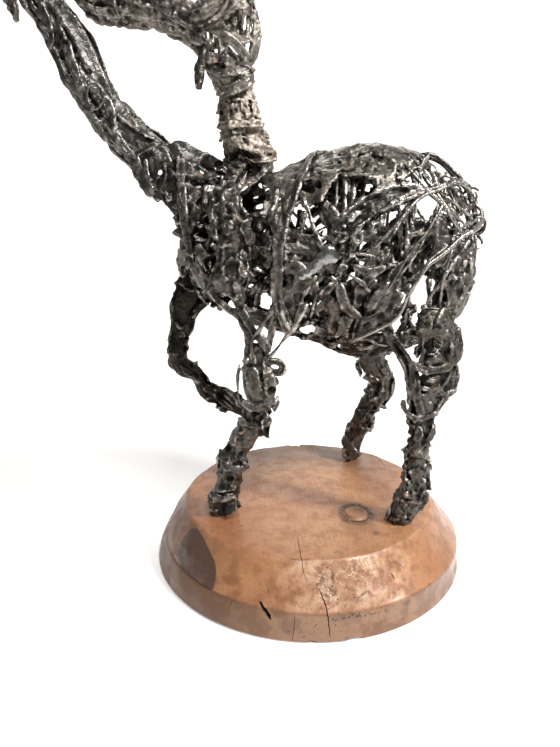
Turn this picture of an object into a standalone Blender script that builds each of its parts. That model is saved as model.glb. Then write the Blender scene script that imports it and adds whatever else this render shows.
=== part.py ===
"""A knight on horseback, welded up from iron rod, strap and sheet, on a turned wooden plinth.

Metres, +Z up. The origin is the centre of the plinth's underside. The horse faces -X, so its left
side is towards -Y. Each member of the figure is one closed solid, and neighbours that are welded
together stand WELD_GAP apart.
"""

from math import cos, pi, radians, sin

import bmesh
import bpy
from mathutils import Matrix, Vector

WELD_GAP = 0.0003

# The turned plinth: a rim that leans out to its foot, then a broad bevel up to a flat top.
PLINTH_HEIGHT = 0.054
PLINTH_RIM_HEIGHT = 0.0225
PLINTH_BASE_RADIUS = 0.140
PLINTH_RIDGE_RADIUS = 0.135
PLINTH_TOP_RADIUS = 0.1122
PLINTH_EASE = 0.0016
# The ridge between rim and bevel was worked by hand, a little to the tail's side of the centre.
PLINTH_RIDGE_OFFSET = 0.003
PLINTH_SIDES = 60

# The iron stock.
ROD_RADIUS = 0.0016
STRAP_THICKNESS = 0.0028
SHEET_THICKNESS = 0.0024

# How far each layer of the cage stands off the middle of the ribs.
LAYER_STEP = 0.0040
RIB_LAYER = 0.0
SHEET_LAYER = LAYER_STEP
ROD_LAYER = 2 * LAYER_STEP

# Sections of the horse's body, at the middle of its ribs: x, top, bottom, half width.
BODY_SECTIONS = (
    (-0.128, 0.342, 0.300, 0.018),
    (-0.112, 0.350, 0.266, 0.036),
    (-0.085, 0.342, 0.244, 0.049),
    (-0.045, 0.329, 0.222, 0.056),
    (0.000, 0.343, 0.205, 0.058),
    (0.045, 0.354, 0.192, 0.059),
    (0.085, 0.347, 0.200, 0.056),
    (0.112, 0.330, 0.212, 0.046),
    (0.130, 0.304, 0.232, 0.028),
)
BODY_SQUARENESS = 2.4

LEFT = -1
RIGHT = 1
SIDE_NAMES = {LEFT: "left", RIGHT: "right"}

GROUND = PLINTH_HEIGHT + WELD_GAP
UPRIGHT = (0, 0, 1)

# How many sections of a limb turn towards the direction that its end faces.
END_RINGS = 4

# How many times the search for a height on the body's flank halves its range.
HALVINGS = 24

IRON = (0.055, 0.048, 0.042, 1.0)
WORN_IRON = (0.13, 0.105, 0.08, 1.0)
WOOD = (0.29, 0.165, 0.085, 1.0)


def finish(name, color, metallic, roughness):
    """A Principled material of one colour."""
    material = bpy.data.materials.new(name)
    material.use_nodes = True
    shader = material.node_tree.nodes["Principled BSDF"]
    shader.inputs["Base Color"].default_value = color
    shader.inputs["Metallic"].default_value = metallic
    shader.inputs["Roughness"].default_value = roughness
    return material


def add_piece(name, mesh_builder, color=IRON, metallic=0.85, roughness=0.5):
    """Turns a bmesh into an object of its own, with its own material and its faces outwards."""
    bmesh.ops.recalc_face_normals(mesh_builder, faces=mesh_builder.faces)
    mesh = bpy.data.meshes.new(name)
    mesh_builder.to_mesh(mesh)
    mesh_builder.free()
    mesh.materials.append(finish(name, color, metallic, roughness))
    piece = bpy.data.objects.new(name, mesh)
    bpy.context.scene.collection.objects.link(piece)
    return piece


def between(rows, place):
    """A smooth row between the rows of a table, at a place counted in rows (Catmull-Rom)."""
    last = len(rows) - 1
    first = min(int(place), last - 1)
    part = place - first
    before = rows[max(first - 1, 0)]
    start = rows[first]
    end = rows[first + 1]
    after = rows[min(first + 2, last)]
    return tuple(
        0.5
        * (
            2 * b
            + (c - a) * part
            + (2 * a - 5 * b + 4 * c - d) * part**2
            + (3 * b - 3 * c + d - a) * part**3
        )
        for a, b, c, d in zip(before, start, end, after)
    )


def spaced(rows, steps):
    """The table's smooth rows at steps + 1 even places."""
    last = len(rows) - 1
    return [between(rows, last * step / steps) for step in range(steps + 1)]


def dent(ring, corner, seed, depth):
    """A share that swings about 1, so that a worked limb has lumps and flats but no dice are thrown."""
    wave = sin(1.9 * ring + 2.3 * corner + seed) * cos(1.3 * ring - 1.7 * corner + 2 * seed)
    return 1 + depth * wave


def section(corners, squareness=2.0):
    """Points of a superellipse with both half sizes 1, as (across, outward) pairs."""
    points = []
    for corner in range(corners):
        angle = 2 * pi * corner / corners
        across, outward = cos(angle), sin(angle)
        size = (abs(across) ** squareness + abs(outward) ** squareness) ** (-1 / squareness)
        points.append((across * size, outward * size))
    return points


STRAP_SECTION = [(1, 1), (-1, 1), (-1, -1), (1, -1)]
ROD_SECTION = section(5)


def rings_along(stations, outline, seed=0.0, depth=0.0):
    """Rings of points: each station is its place, its across and outward directions and half sizes."""
    rings = []
    for ring, (place, across, outward, half_across, half_outward) in enumerate(stations):
        rings.append(
            [
                place
                + across * (a * half_across * dent(ring, corner, seed, depth))
                + outward * (b * half_outward * dent(ring, corner, seed, depth))
                for corner, (a, b) in enumerate(outline)
            ]
        )
    return rings


def loft(rings, closed=False):
    """A bmesh skinned through the rings, with a flat face on each end, or joined end to end."""
    builder = bmesh.new()
    corner_of = builder.verts.layers.int.new("corner")
    bmesh.ops.create_circle(builder, cap_ends=False, segments=len(rings[0]), radius=1.0)
    for corner, vertex in enumerate(builder.verts):
        vertex[corner_of] = corner
        vertex.co = rings[0][corner]
    first = list(builder.edges)
    last = first
    for ring in rings[1:]:
        made = bmesh.ops.extrude_edge_only(builder, edges=last)["geom"]
        last = [item for item in made if isinstance(item, bmesh.types.BMEdge) and item.is_boundary]
        for vertex in {vertex for edge in last for vertex in edge.verts}:
            vertex.co = ring[vertex[corner_of]]
    if closed:
        bmesh.ops.bridge_loops(builder, edges=first + last)
    else:
        bmesh.ops.contextual_create(builder, geom=first)
        bmesh.ops.contextual_create(builder, geom=last)
    return builder


def framed(places, side):
    """Stations' frames: across lies towards side, squared to the run, and outward completes it."""
    frames = []
    last = len(places) - 1
    for index, place in enumerate(places):
        ahead = places[min(index + 1, last)] - places[max(index - 1, 0)]
        across = (side - ahead * (side.dot(ahead) / ahead.length_squared)).normalized()
        frames.append((place, across, across.cross(ahead).normalized()))
    return frames


def limb(name, rows, steps, seed, corners=10, depth=0.10, squareness=2.3, facing=None, ends=None, **look):
    """A solid limb through rows of (x, y, z, half across the body, half along it).

    Its sections face along the run, or all face the direction in facing. The directions in ends, by
    section number (0 or -1), turn the last few sections at that end.
    """
    rows = spaced(rows, steps)
    side = Vector((0, 1, 0))
    frames = framed([Vector(row[:3]) for row in rows], side)
    for index, (place, across, outward) in enumerate(frames):
        direction = Vector(facing) if facing else outward.cross(across)
        for end, wanted in (ends or {}).items():
            distance = index if end == 0 else len(frames) - 1 - index
            pull = max(0.0, 1 - distance / END_RINGS)
            direction = direction.lerp(Vector(wanted).normalized(), pull)
        across = (side - direction * side.dot(direction) / direction.length_squared).normalized()
        frames[index] = (place, across, across.cross(direction).normalized())
    stations = [frame + (row[3], row[4]) for frame, row in zip(frames, rows)]
    return add_piece(name, loft(rings_along(stations, section(corners, squareness), seed, depth)), **look)


def body_place(x, angle):
    """A place on the middle of the ribs; angle runs from the back down the left side."""
    last = len(BODY_SECTIONS) - 1
    low = 0
    while low < last - 1 and BODY_SECTIONS[low + 1][0] < x:
        low += 1
    share = (x - BODY_SECTIONS[low][0]) / (BODY_SECTIONS[low + 1][0] - BODY_SECTIONS[low][0])
    _, top, bottom, half_width = between(BODY_SECTIONS, low + min(max(share, 0.0), 1.0))
    across, up = sin(angle), cos(angle)
    size = (abs(across) ** BODY_SQUARENESS + abs(up) ** BODY_SQUARENESS) ** (-1 / BODY_SQUARENESS)
    return Vector((x, LEFT * across * size * half_width, (top + bottom + up * size * (top - bottom)) / 2))


def body_frame(x, angle, lift):
    """A place that stands off the body by lift, and the body's outward direction there."""
    step = 0.002
    along = body_place(x + step, angle) - body_place(x - step, angle)
    around = body_place(x, angle + step) - body_place(x, angle - step)
    outward = around.cross(along).normalized()
    return body_place(x, angle) + outward * lift, outward


def flank_angle(x, z):
    """The angle on the left side at which the body, at x, is at the height z, found by halving."""
    low, high = radians(2), radians(178)
    for _ in range(HALVINGS):
        middle = (low + high) / 2
        if body_place(x, middle).z > z:
            low = middle
        else:
            high = middle
    return (low + high) / 2


def on_flank(side, points, lift, steps):
    """Places and outward directions along a smooth line of (x, z) points on one side of the body."""
    return [body_frame(x, -side * flank_angle(x, z), lift) for x, z in spaced(points, steps)]


def member(name, route, half_width, thickness, outline, closed=False, **look):
    """A rod or strap along places with outward directions; its width lies on the body."""
    places = [place for place, _ in route]
    last = len(places) - 1
    stations = []
    for index, (place, outward) in enumerate(route):
        if closed:
            ahead = places[(index + 1) % (last + 1)] - places[index - 1]
        else:
            ahead = places[min(index + 1, last)] - places[max(index - 1, 0)]
        across = ahead.cross(outward).normalized()
        stations.append((place, across, across.cross(ahead).normalized() * -1, half_width, thickness / 2))
    return add_piece(name, loft(rings_along(stations, outline), closed), **look)


def hoop(name, x_top, x_bottom, half_width, lift, bow=0.0, steps=24):
    """A strap that runs right round the body, leaning from x_top at the back to x_bottom below."""
    route = []
    for step in range(steps):
        angle = 2 * pi * step / steps
        low = (1 - cos(angle)) / 2
        x = x_top + (x_bottom - x_top) * low + bow * sin(pi * low)
        route.append(body_frame(x, angle, lift))
    return member(name, route, half_width, STRAP_THICKNESS, STRAP_SECTION, closed=True)


def body_sheet(name, x_range, angle_range, cells, lift, windows=(), ragged=0.0, **look):
    """A beaten sheet that follows the body between two angles, in degrees, from the back.

    Its edge is ragged, and windows are the cells that are left out of it.
    """
    builder = bmesh.new()
    bmesh.ops.create_grid(builder, x_segments=cells[0], y_segments=cells[1], size=1.0)
    for vertex in builder.verts:
        along = (vertex.co.x + 1) / 2
        around = (vertex.co.y + 1) / 2
        fray = ragged * sin(9 * around + 4 * x_range[0] / LAYER_STEP) * (2 * along - 1)
        hem = ragged * 8 * sin(11 * along + 7 * x_range[1] / LAYER_STEP) * (2 * around - 1)
        x = x_range[0] + (x_range[1] - x_range[0]) * along + fray
        angle = radians(angle_range[0] + (angle_range[1] - angle_range[0]) * around) + hem
        vertex.co = body_frame(x, angle, lift)[0]
    builder.faces.ensure_lookup_table()
    across = cells[0]
    lost = [builder.faces[row * across + column] for column, row in windows]
    bmesh.ops.delete(builder, geom=lost, context="FACES")
    piece = add_piece(name, builder, **look)
    solid = piece.modifiers.new("Thickness", "SOLIDIFY")
    solid.thickness = SHEET_THICKNESS
    solid.offset = 0.0
    return piece


def cut_away(piece, cutter):
    """Applies a Boolean difference to the piece and drops the cutter."""
    cut = piece.modifiers.new("Cut", "BOOLEAN")
    cut.object = cutter
    cut.operation = "DIFFERENCE"
    cut.solver = "EXACT"
    bpy.context.view_layer.update()
    evaluated = piece.evaluated_get(bpy.context.evaluated_depsgraph_get())
    mesh = bpy.data.meshes.new_from_object(evaluated)
    piece.modifiers.clear()
    old = piece.data
    piece.data = mesh
    bpy.data.meshes.remove(old)
    bpy.data.objects.remove(cutter)


def wedge(place, size, turn):
    """A block turned about Z and tipped, to knock a chip out of an edge."""
    builder = bmesh.new()
    bmesh.ops.create_cube(builder, size=1.0)
    spin = Matrix.Rotation(turn, 4, "Z") @ Matrix.Rotation(radians(31), 4, "Y")
    placed = Matrix.Translation(place) @ spin @ Matrix.Diagonal((*size, 1.0))
    bmesh.ops.transform(builder, matrix=placed, verts=builder.verts)
    return add_piece("chip", builder)


def build_plinth():
    """The turned plinth, with the chips and the gash in its edges."""
    profile = (
        (0.0, 0.0),
        (PLINTH_BASE_RADIUS - PLINTH_EASE, 0.0),
        (PLINTH_BASE_RADIUS, PLINTH_EASE),
        (PLINTH_RIDGE_RADIUS + PLINTH_EASE / 3, PLINTH_RIM_HEIGHT - PLINTH_EASE),
        (PLINTH_RIDGE_RADIUS - PLINTH_EASE, PLINTH_RIM_HEIGHT + PLINTH_EASE),
        (PLINTH_TOP_RADIUS + PLINTH_EASE, PLINTH_HEIGHT - PLINTH_EASE),
        (PLINTH_TOP_RADIUS - PLINTH_EASE, PLINTH_HEIGHT),
        (0.0, PLINTH_HEIGHT),
    )
    builder = bmesh.new()
    outline = [builder.verts.new((radius, 0, z)) for radius, z in profile]
    edges = [builder.edges.new(pair) for pair in zip(outline, outline[1:])]
    turned = {"axis": (0, 0, 1), "cent": (0, 0, 0), "angle": 2 * pi}
    bmesh.ops.spin(builder, geom=outline + edges, steps=PLINTH_SIDES, use_merge=True, **turned)
    bmesh.ops.remove_doubles(builder, verts=builder.verts, dist=1e-5)
    ridge = [vertex for vertex in builder.verts if abs(vertex.co.z - PLINTH_RIM_HEIGHT) < 2 * PLINTH_EASE]
    bmesh.ops.translate(builder, verts=ridge, vec=(PLINTH_RIDGE_OFFSET, 0, 0))
    plinth = add_piece("plinth", builder, WOOD, 0.0, 0.55)
    # Each chip: its bearing, how far out and how high its block stands, and the block's size.
    chips = (
        (radians(100), PLINTH_TOP_RADIUS + 0.0015, PLINTH_HEIGHT, (0.006, 0.010, 0.005)),
        (radians(-84), PLINTH_BASE_RADIUS + 0.0015, -0.0005, (0.007, 0.015, 0.006)),
        (radians(-64), PLINTH_BASE_RADIUS + 0.0015, -0.0005, (0.006, 0.013, 0.005)),
        (radians(-108), PLINTH_RIDGE_RADIUS + 0.0050, PLINTH_RIM_HEIGHT - 0.003, (0.010, 0.003, 0.012)),
    )
    for turn, radius, z, size in chips:
        cut_away(plinth, wedge(Vector((radius * cos(turn), radius * sin(turn), z)), size, turn))


def build_cage():
    """The open barrel of the horse: ribs and the beaten plates on them."""
    hoop("chest_collar", -0.100, -0.088, 0.0060, SHEET_LAYER, bow=-0.001)
    ribs = (
        (-0.083, -0.076, 0.0050, 0.000),
        (-0.030, -0.047, 0.0065, 0.004),
        (-0.004, -0.020, 0.0045, -0.003),
        (0.024, 0.012, 0.0040, 0.004),
        (0.050, 0.043, 0.0045, 0.000),
        (0.074, 0.070, 0.0040, 0.004),
        (0.097, 0.094, 0.0045, 0.003),
        (0.116, 0.112, 0.0040, 0.004),
    )
    for number, (x_top, x_bottom, half_width, bow) in enumerate(ribs, start=1):
        hoop(f"rib_{number}", x_top, x_bottom, half_width, RIB_LAYER, bow)
    back_windows = ((2, 7), (2, 8), (4, 8), (6, 7), (7, 2), (3, 2), (8, 8))
    body_sheet(
        "back_plate", (-0.022, 0.098), (-60, 62), (10, 10), SHEET_LAYER, windows=back_windows, ragged=0.003
    )
    body_sheet("belly_plate", (-0.040, 0.072), (134, 228), (7, 7), SHEET_LAYER, ((2, 2), (4, 4)), 0.003)
    body_sheet("saddle_strap", (-0.068, -0.036), (-66, 66), (3, 10), SHEET_LAYER)
    for side in (LEFT, RIGHT):
        name = SIDE_NAMES[side]
        # Each plate: its stretch of the body, the angles down that side that it covers, its cells.
        plates = (
            ("shoulder_plate", (-0.079, -0.049), (84, 119), (3, 4), ()),
            ("flank_plate", (0.002, 0.062), (78, 126), (6, 5), ((2, 2), (4, 3))),
            ("haunch_plate", (0.078, 0.121), (80, 120), (4, 4), ((2, 2),)),
        )
        for plate, stretch, angles, cells, windows in plates:
            low, high = sorted(-side * angle for angle in angles)
            body_sheet(f"{plate}_{name}", stretch, (low, high), cells, SHEET_LAYER, windows, 0.002)


def build_rods():
    """The rods and straps that lean across the outside of the cage."""
    rods = {
        LEFT: (
            ((0.087, 0.308), (0.070, 0.283), (0.057, 0.260), (0.041, 0.236)),
            ((0.116, 0.306), (0.100, 0.283), (0.075, 0.268), (0.063, 0.240), (0.044, 0.224)),
            ((0.063, 0.331), (0.086, 0.329), (0.110, 0.320)),
            ((-0.011, 0.251), (-0.003, 0.262), (0.008, 0.266), (0.018, 0.255), (0.026, 0.236)),
        ),
        RIGHT: (
            ((0.094, 0.304), (0.068, 0.286), (0.044, 0.262), (0.030, 0.236)),
            ((0.112, 0.296), (0.092, 0.272), (0.070, 0.250), (0.056, 0.230)),
            ((0.058, 0.330), (0.084, 0.328), (0.108, 0.318)),
            ((-0.020, 0.300), (-0.006, 0.276), (0.004, 0.256), (0.010, 0.232)),
        ),
    }
    straps = {
        LEFT: ((0.008, 0.288), (0.022, 0.299), (0.041, 0.317), (0.056, 0.321), (0.078, 0.318)),
        RIGHT: ((0.002, 0.296), (0.020, 0.303), (0.044, 0.314), (0.074, 0.317)),
    }
    for side in (LEFT, RIGHT):
        name = SIDE_NAMES[side]
        for number, points in enumerate(rods[side], start=1):
            route = on_flank(side, points, ROD_LAYER, 8)
            member(f"side_rod_{name}_{number}", route, ROD_RADIUS, 2 * ROD_RADIUS, ROD_SECTION)
        route = on_flank(side, straps[side], ROD_LAYER, 8)
        member(f"horn_strap_{name}", route, 0.0042, STRAP_THICKNESS, STRAP_SECTION)


def build_rump():
    """The strap over the rump and the flat tail that hangs behind it."""
    rump = ((0.1035, 0.3475), (0.117, 0.3375), (0.130, 0.320), (0.1370, 0.300), (0.1385, 0.287))
    tail = ((0.1385, 0.284), (0.1375, 0.266), (0.1365, 0.246), (0.1340, 0.231), (0.1270, 0.219))
    for name, points, half_width in (("rump_strap", rump, 0.0045), ("tail", tail, 0.0055)):
        places = [Vector((x, 0, z)) for x, z in spaced(points, 6)]
        route = [(place, outward) for place, _, outward in framed(places, Vector((0, 1, 0)))]
        member(name, route, half_width, STRAP_THICKNESS, STRAP_SECTION)


def build_legs():
    """The four legs, with the straps that spread from the left knee to the shoulder."""
    limb(
        "fore_leg_left",
        (
            (-0.0790, -0.0410, GROUND, 0.0110, 0.0125),
            (-0.0790, -0.0410, 0.0640, 0.0115, 0.0135),
            (-0.0725, -0.0420, 0.0825, 0.0095, 0.0112),
            (-0.0640, -0.0430, 0.1010, 0.0100, 0.0118),
            (-0.0565, -0.0440, 0.1200, 0.0090, 0.0105),
            (-0.0525, -0.0450, 0.1370, 0.0095, 0.0108),
            (-0.0475, -0.0460, 0.1550, 0.0110, 0.0130),
            (-0.0445, -0.0465, 0.1760, 0.0125, 0.0165),
            (-0.0460, -0.0475, 0.1940, 0.0105, 0.0135),
            (-0.0480, -0.0480, 0.2030, 0.0085, 0.0105),
        ),
        16,
        seed=0.4,
        ends={0: UPRIGHT},
    )
    # The right foreleg is raised, with its cannon folded back under it.
    limb(
        "fore_leg_right",
        (
            (-0.0520, 0.0440, 0.1060, 0.0075, 0.0085),
            (-0.0640, 0.0445, 0.1150, 0.0095, 0.0105),
            (-0.0800, 0.0450, 0.1270, 0.0085, 0.0092),
            (-0.1050, 0.0455, 0.1440, 0.0085, 0.0095),
            (-0.1220, 0.0460, 0.1600, 0.0095, 0.0110),
            (-0.1230, 0.0465, 0.1760, 0.0100, 0.0110),
            (-0.1195, 0.0470, 0.1980, 0.0100, 0.0108),
            (-0.1165, 0.0475, 0.2200, 0.0105, 0.0118),
            (-0.1100, 0.0480, 0.2400, 0.0105, 0.0135),
            (-0.1050, 0.0490, 0.2540, 0.0085, 0.0140),
        ),
        18,
        seed=1.7,
    )
    limb(
        "hind_leg_left",
        (
            (0.0770, -0.0545, GROUND, 0.0085, 0.0080),
            (0.0800, -0.0550, 0.0640, 0.0110, 0.0115),
            (0.0835, -0.0555, 0.0790, 0.0110, 0.0125),
            (0.0865, -0.0560, 0.0960, 0.0095, 0.0105),
            (0.0885, -0.0560, 0.1150, 0.0085, 0.0092),
            (0.0905, -0.0565, 0.1330, 0.0088, 0.0092),
            (0.0905, -0.0570, 0.1480, 0.0100, 0.0110),
            (0.0960, -0.0580, 0.1660, 0.0115, 0.0180),
            (0.0925, -0.0590, 0.1840, 0.0105, 0.0195),
            (0.0870, -0.0590, 0.2040, 0.0085, 0.0225),
            (0.0895, -0.0605, 0.2240, 0.0055, 0.0205),
            (0.0915, -0.0625, 0.2360, 0.0040, 0.0170),
        ),
        18,
        seed=2.9,
        ends={0: UPRIGHT},
    )
    limb(
        "hind_leg_right",
        (
            (0.0520, 0.0720, GROUND, 0.0090, 0.0100),
            (0.0525, 0.0718, 0.0700, 0.0100, 0.0115),
            (0.0590, 0.0712, 0.0930, 0.0095, 0.0115),
            (0.0700, 0.0705, 0.1160, 0.0100, 0.0115),
            (0.0775, 0.0700, 0.1330, 0.0105, 0.0130),
            (0.0735, 0.0695, 0.1510, 0.0105, 0.0125),
            (0.0665, 0.0690, 0.1700, 0.0105, 0.0140),
            (0.0640, 0.0660, 0.1880, 0.0105, 0.0180),
            (0.0720, 0.0630, 0.2080, 0.0080, 0.0220),
            (0.0850, 0.0625, 0.2240, 0.0050, 0.0210),
            (0.0920, 0.0630, 0.2360, 0.0040, 0.0170),
        ),
        16,
        seed=4.1,
        ends={0: UPRIGHT},
    )
    shoulder_straps = (
        (
            (-0.0870, -0.0590, 0.2660),
            (-0.0760, -0.0590, 0.2480),
            (-0.0620, -0.0540, 0.2280),
            (-0.0540, -0.0480, 0.2070),
        ),
        ((-0.0480, -0.0690, 0.2420), (-0.0440, -0.0640, 0.2280), (-0.0430, -0.0510, 0.2070)),
        ((-0.0200, -0.0680, 0.2480), (-0.0240, -0.0640, 0.2300), (-0.0350, -0.0480, 0.2060)),
    )
    outward = Vector((0, LEFT, 0.15)).normalized()
    for number, points in enumerate(shoulder_straps, start=1):
        route = [(Vector(point), outward) for point in spaced(points, 6)]
        member(f"fore_strap_left_{number}", route, 0.0032, STRAP_THICKNESS, STRAP_SECTION)


def build_neck_and_head():
    """The neck, which swells into the breast, and the horse's head with its two ears."""
    limb(
        "neck",
        (
            (-0.1085, 0.0, 0.3220, 0.0280, 0.0280),
            (-0.1225, 0.0, 0.3335, 0.0215, 0.0235),
            (-0.1390, 0.0, 0.3580, 0.0165, 0.0185),
            (-0.1540, 0.0, 0.3720, 0.0150, 0.0165),
            (-0.1690, 0.0, 0.3880, 0.0140, 0.0158),
            (-0.1830, 0.0, 0.4120, 0.0135, 0.0155),
            (-0.1930, 0.0, 0.4380, 0.0130, 0.0145),
            (-0.2035, 0.0, 0.4620, 0.0135, 0.0142),
            (-0.2085, 0.0, 0.4830, 0.0125, 0.0128),
        ),
        16,
        seed=5.3,
        corners=12,
        depth=0.07,
        ends={0: (-1, 0, 0), -1: (-0.56, 0, 0.83)},
    )
    limb(
        "horse_head",
        (
            (-0.3080, 0.0, 0.4680, 0.0085, 0.0090),
            (-0.3010, 0.0, 0.4705, 0.0120, 0.0142),
            (-0.2860, 0.0, 0.4775, 0.0098, 0.0118),
            (-0.2640, 0.0, 0.4845, 0.0105, 0.0140),
            (-0.2450, 0.0, 0.4900, 0.0140, 0.0185),
            (-0.2300, 0.0, 0.4950, 0.0150, 0.0210),
            (-0.2140, 0.0, 0.5015, 0.0130, 0.0170),
            (-0.2040, 0.0, 0.5040, 0.0085, 0.0110),
        ),
        14,
        seed=6.1,
        corners=12,
        depth=0.06,
    )
    limb(
        "cheek_drop",
        (
            (-0.2300, 0.0, 0.4700, 0.0040, 0.0048),
            (-0.2300, 0.0, 0.4640, 0.0040, 0.0048),
            (-0.2285, 0.0, 0.4560, 0.0030, 0.0036),
            (-0.2265, 0.0, 0.4510, 0.0018, 0.0020),
        ),
        4,
        seed=0.9,
        corners=6,
        facing=UPRIGHT,
    )
    for side in (LEFT, RIGHT):
        limb(
            f"ear_{SIDE_NAMES[side]}",
            (
                (-0.2090, side * 0.0085, 0.5175, 0.0026, 0.0050),
                (-0.2070, side * 0.0100, 0.5265, 0.0030, 0.0058),
                (-0.2055, side * 0.0112, 0.5340, 0.0022, 0.0042),
                (-0.2040, side * 0.0120, 0.5410, 0.0008, 0.0014),
            ),
            4,
            seed=1.1 + side,
            corners=6,
            depth=0.05,
            facing=UPRIGHT,
        )


def build_rider():
    """The knight: seat, trunk, arms and legs."""
    limb(
        "rider_seat",
        (
            (-0.0500, 0.0, 0.3415, 0.0250, 0.0215),
            (-0.0520, 0.0, 0.3470, 0.0235, 0.0225),
            (-0.0550, 0.0, 0.3570, 0.0190, 0.0182),
            (-0.0560, 0.0, 0.3680, 0.0180, 0.0172),
            (-0.0560, 0.0, 0.3725, 0.0190, 0.0190),
            (-0.0590, 0.0, 0.3850, 0.0150, 0.0150),
            (-0.0600, 0.0, 0.3960, 0.0135, 0.0138),
            (-0.0605, 0.0, 0.4020, 0.0125, 0.0125),
        ),
        12,
        seed=7.2,
        corners=12,
        depth=0.07,
        facing=UPRIGHT,
        color=WORN_IRON,
    )
    limb(
        "rider_trunk",
        (
            (-0.0605, 0.0, 0.4023, 0.0140, 0.0128),
            (-0.0635, 0.0, 0.4080, 0.0160, 0.0155),
            (-0.0660, 0.0, 0.4210, 0.0190, 0.0180),
            (-0.0645, 0.0, 0.4420, 0.0215, 0.0205),
            (-0.0630, 0.0, 0.4620, 0.0245, 0.0185),
            (-0.0620, 0.0, 0.4740, 0.0265, 0.0165),
            (-0.0610, 0.0, 0.4840, 0.0190, 0.0130),
            (-0.0610, 0.0, 0.4900, 0.0105, 0.0100),
            (-0.0620, 0.0, 0.4940, 0.0100, 0.0095),
        ),
        15,
        seed=8.6,
        corners=12,
        depth=0.07,
        facing=UPRIGHT,
    )
    for side in (LEFT, RIGHT):
        name = SIDE_NAMES[side]
        limb(
            f"rider_arm_{name}",
            (
                (-0.0600, side * 0.0360, 0.4740, 0.0060, 0.0085),
                (-0.0640, side * 0.0370, 0.4600, 0.0075, 0.0090),
                (-0.0740, side * 0.0360, 0.4440, 0.0080, 0.0085),
                (-0.0900, side * 0.0290, 0.4450, 0.0075, 0.0072),
                (-0.1080, side * 0.0215, 0.4510, 0.0070, 0.0070),
                (-0.1260, side * 0.0155, 0.4570, 0.0070, 0.0070),
                (-0.1420, side * 0.0125, 0.4605, 0.0090, 0.0110),
                (-0.1580, side * 0.0115, 0.4635, 0.0100, 0.0135),
                (-0.1720, side * 0.0110, 0.4690, 0.0085, 0.0120),
                (-0.1790, side * 0.0105, 0.4730, 0.0050, 0.0070),
            ),
            16,
            seed=9.4 + side,
            corners=8,
            depth=0.07,
        )
        limb(
            f"rider_leg_{name}",
            (
                (-0.0540, side * 0.0430, 0.3400, 0.0060, 0.0110),
                (-0.0600, side * 0.0580, 0.3330, 0.0070, 0.0120),
                (-0.0650, side * 0.0710, 0.3160, 0.0070, 0.0130),
                (-0.0620, side * 0.0750, 0.2980, 0.0075, 0.0130),
                (-0.0605, side * 0.0750, 0.2800, 0.0070, 0.0125),
                (-0.0615, side * 0.0745, 0.2620, 0.0065, 0.0120),
                (-0.0660, side * 0.0735, 0.2500, 0.0060, 0.0135),
            ),
            12,
            seed=3.3 + side,
            corners=8,
            depth=0.08,
        )
    drip = ((-0.0840, -0.0250, 0.4190), (-0.0860, -0.0240, 0.4090), (-0.0860, -0.0230, 0.3955))
    route = [(Vector(point), Vector((0, LEFT, 0))) for point in drip]
    member("hanging_drip", route, 0.0028, 0.0056, ROD_SECTION)


def build_helmet():
    """A plain closed helmet with a comb, a brow ridge and one sight slot."""
    helmet = limb(
        "rider_helmet",
        (
            (-0.0620, 0.0, 0.4943, 0.0150, 0.0145),
            (-0.0630, 0.0, 0.4990, 0.0135, 0.0140),
            (-0.0640, 0.0, 0.5090, 0.0140, 0.0165),
            (-0.0640, 0.0, 0.5200, 0.0150, 0.0180),
            (-0.0635, 0.0, 0.5290, 0.0150, 0.0178),
            (-0.0620, 0.0, 0.5390, 0.0125, 0.0155),
            (-0.0600, 0.0, 0.5460, 0.0070, 0.0110),
            (-0.0590, 0.0, 0.5490, 0.0015, 0.0030),
        ),
        12,
        seed=0.0,
        corners=14,
        depth=0.0,
        squareness=2.1,
        facing=UPRIGHT,
    )
    slot = bmesh.new()
    bmesh.ops.create_cube(slot, size=1.0)
    placed = Matrix.Translation((-0.0800, 0, 0.5215)) @ Matrix.Diagonal((0.012, 0.021, 0.0022, 1.0))
    bmesh.ops.transform(slot, matrix=placed, verts=slot.verts)
    cut_away(helmet, add_piece("slot", slot))


def main():
    """Clears the scene and builds the whole sculpture."""
    for item in list(bpy.data.objects):
        bpy.data.objects.remove(item)
    build_plinth()
    build_cage()
    build_rods()
    build_rump()
    build_legs()
    build_neck_and_head()
    build_rider()
    build_helmet()


main()
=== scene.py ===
"""The finished looks of a horse and knight welded from scrap iron, on a turned wooden plinth.

Metres, +Z up. The origin is the centre of the plinth's underside and the horse faces -X, so its left
flank is towards -Y. Iron members are swept or cut from sheet, gathered into weldments and fused;
the plinth is spun, worked by hand and cut.
"""

import logging
from collections.abc import Callable, Iterable, Sequence
from dataclasses import dataclass, field, replace
from enum import Enum
from functools import cache
from itertools import product
from math import atan2, cos, hypot, pi, radians, sin, sqrt
from random import Random

import bmesh
import bpy
import numpy as np
from mathutils import Matrix, Vector


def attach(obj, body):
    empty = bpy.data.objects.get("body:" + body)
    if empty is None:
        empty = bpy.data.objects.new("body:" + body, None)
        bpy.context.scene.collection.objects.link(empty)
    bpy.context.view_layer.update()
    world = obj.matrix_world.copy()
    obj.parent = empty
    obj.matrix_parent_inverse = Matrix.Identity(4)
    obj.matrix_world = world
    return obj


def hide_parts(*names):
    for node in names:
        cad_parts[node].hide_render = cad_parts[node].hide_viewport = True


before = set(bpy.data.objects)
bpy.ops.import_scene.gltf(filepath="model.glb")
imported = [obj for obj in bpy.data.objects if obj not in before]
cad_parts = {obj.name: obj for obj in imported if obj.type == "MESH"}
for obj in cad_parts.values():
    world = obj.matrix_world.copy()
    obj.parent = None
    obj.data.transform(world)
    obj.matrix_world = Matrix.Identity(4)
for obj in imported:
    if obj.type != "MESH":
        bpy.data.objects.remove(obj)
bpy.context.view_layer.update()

log = logging.getLogger("knight")

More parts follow.
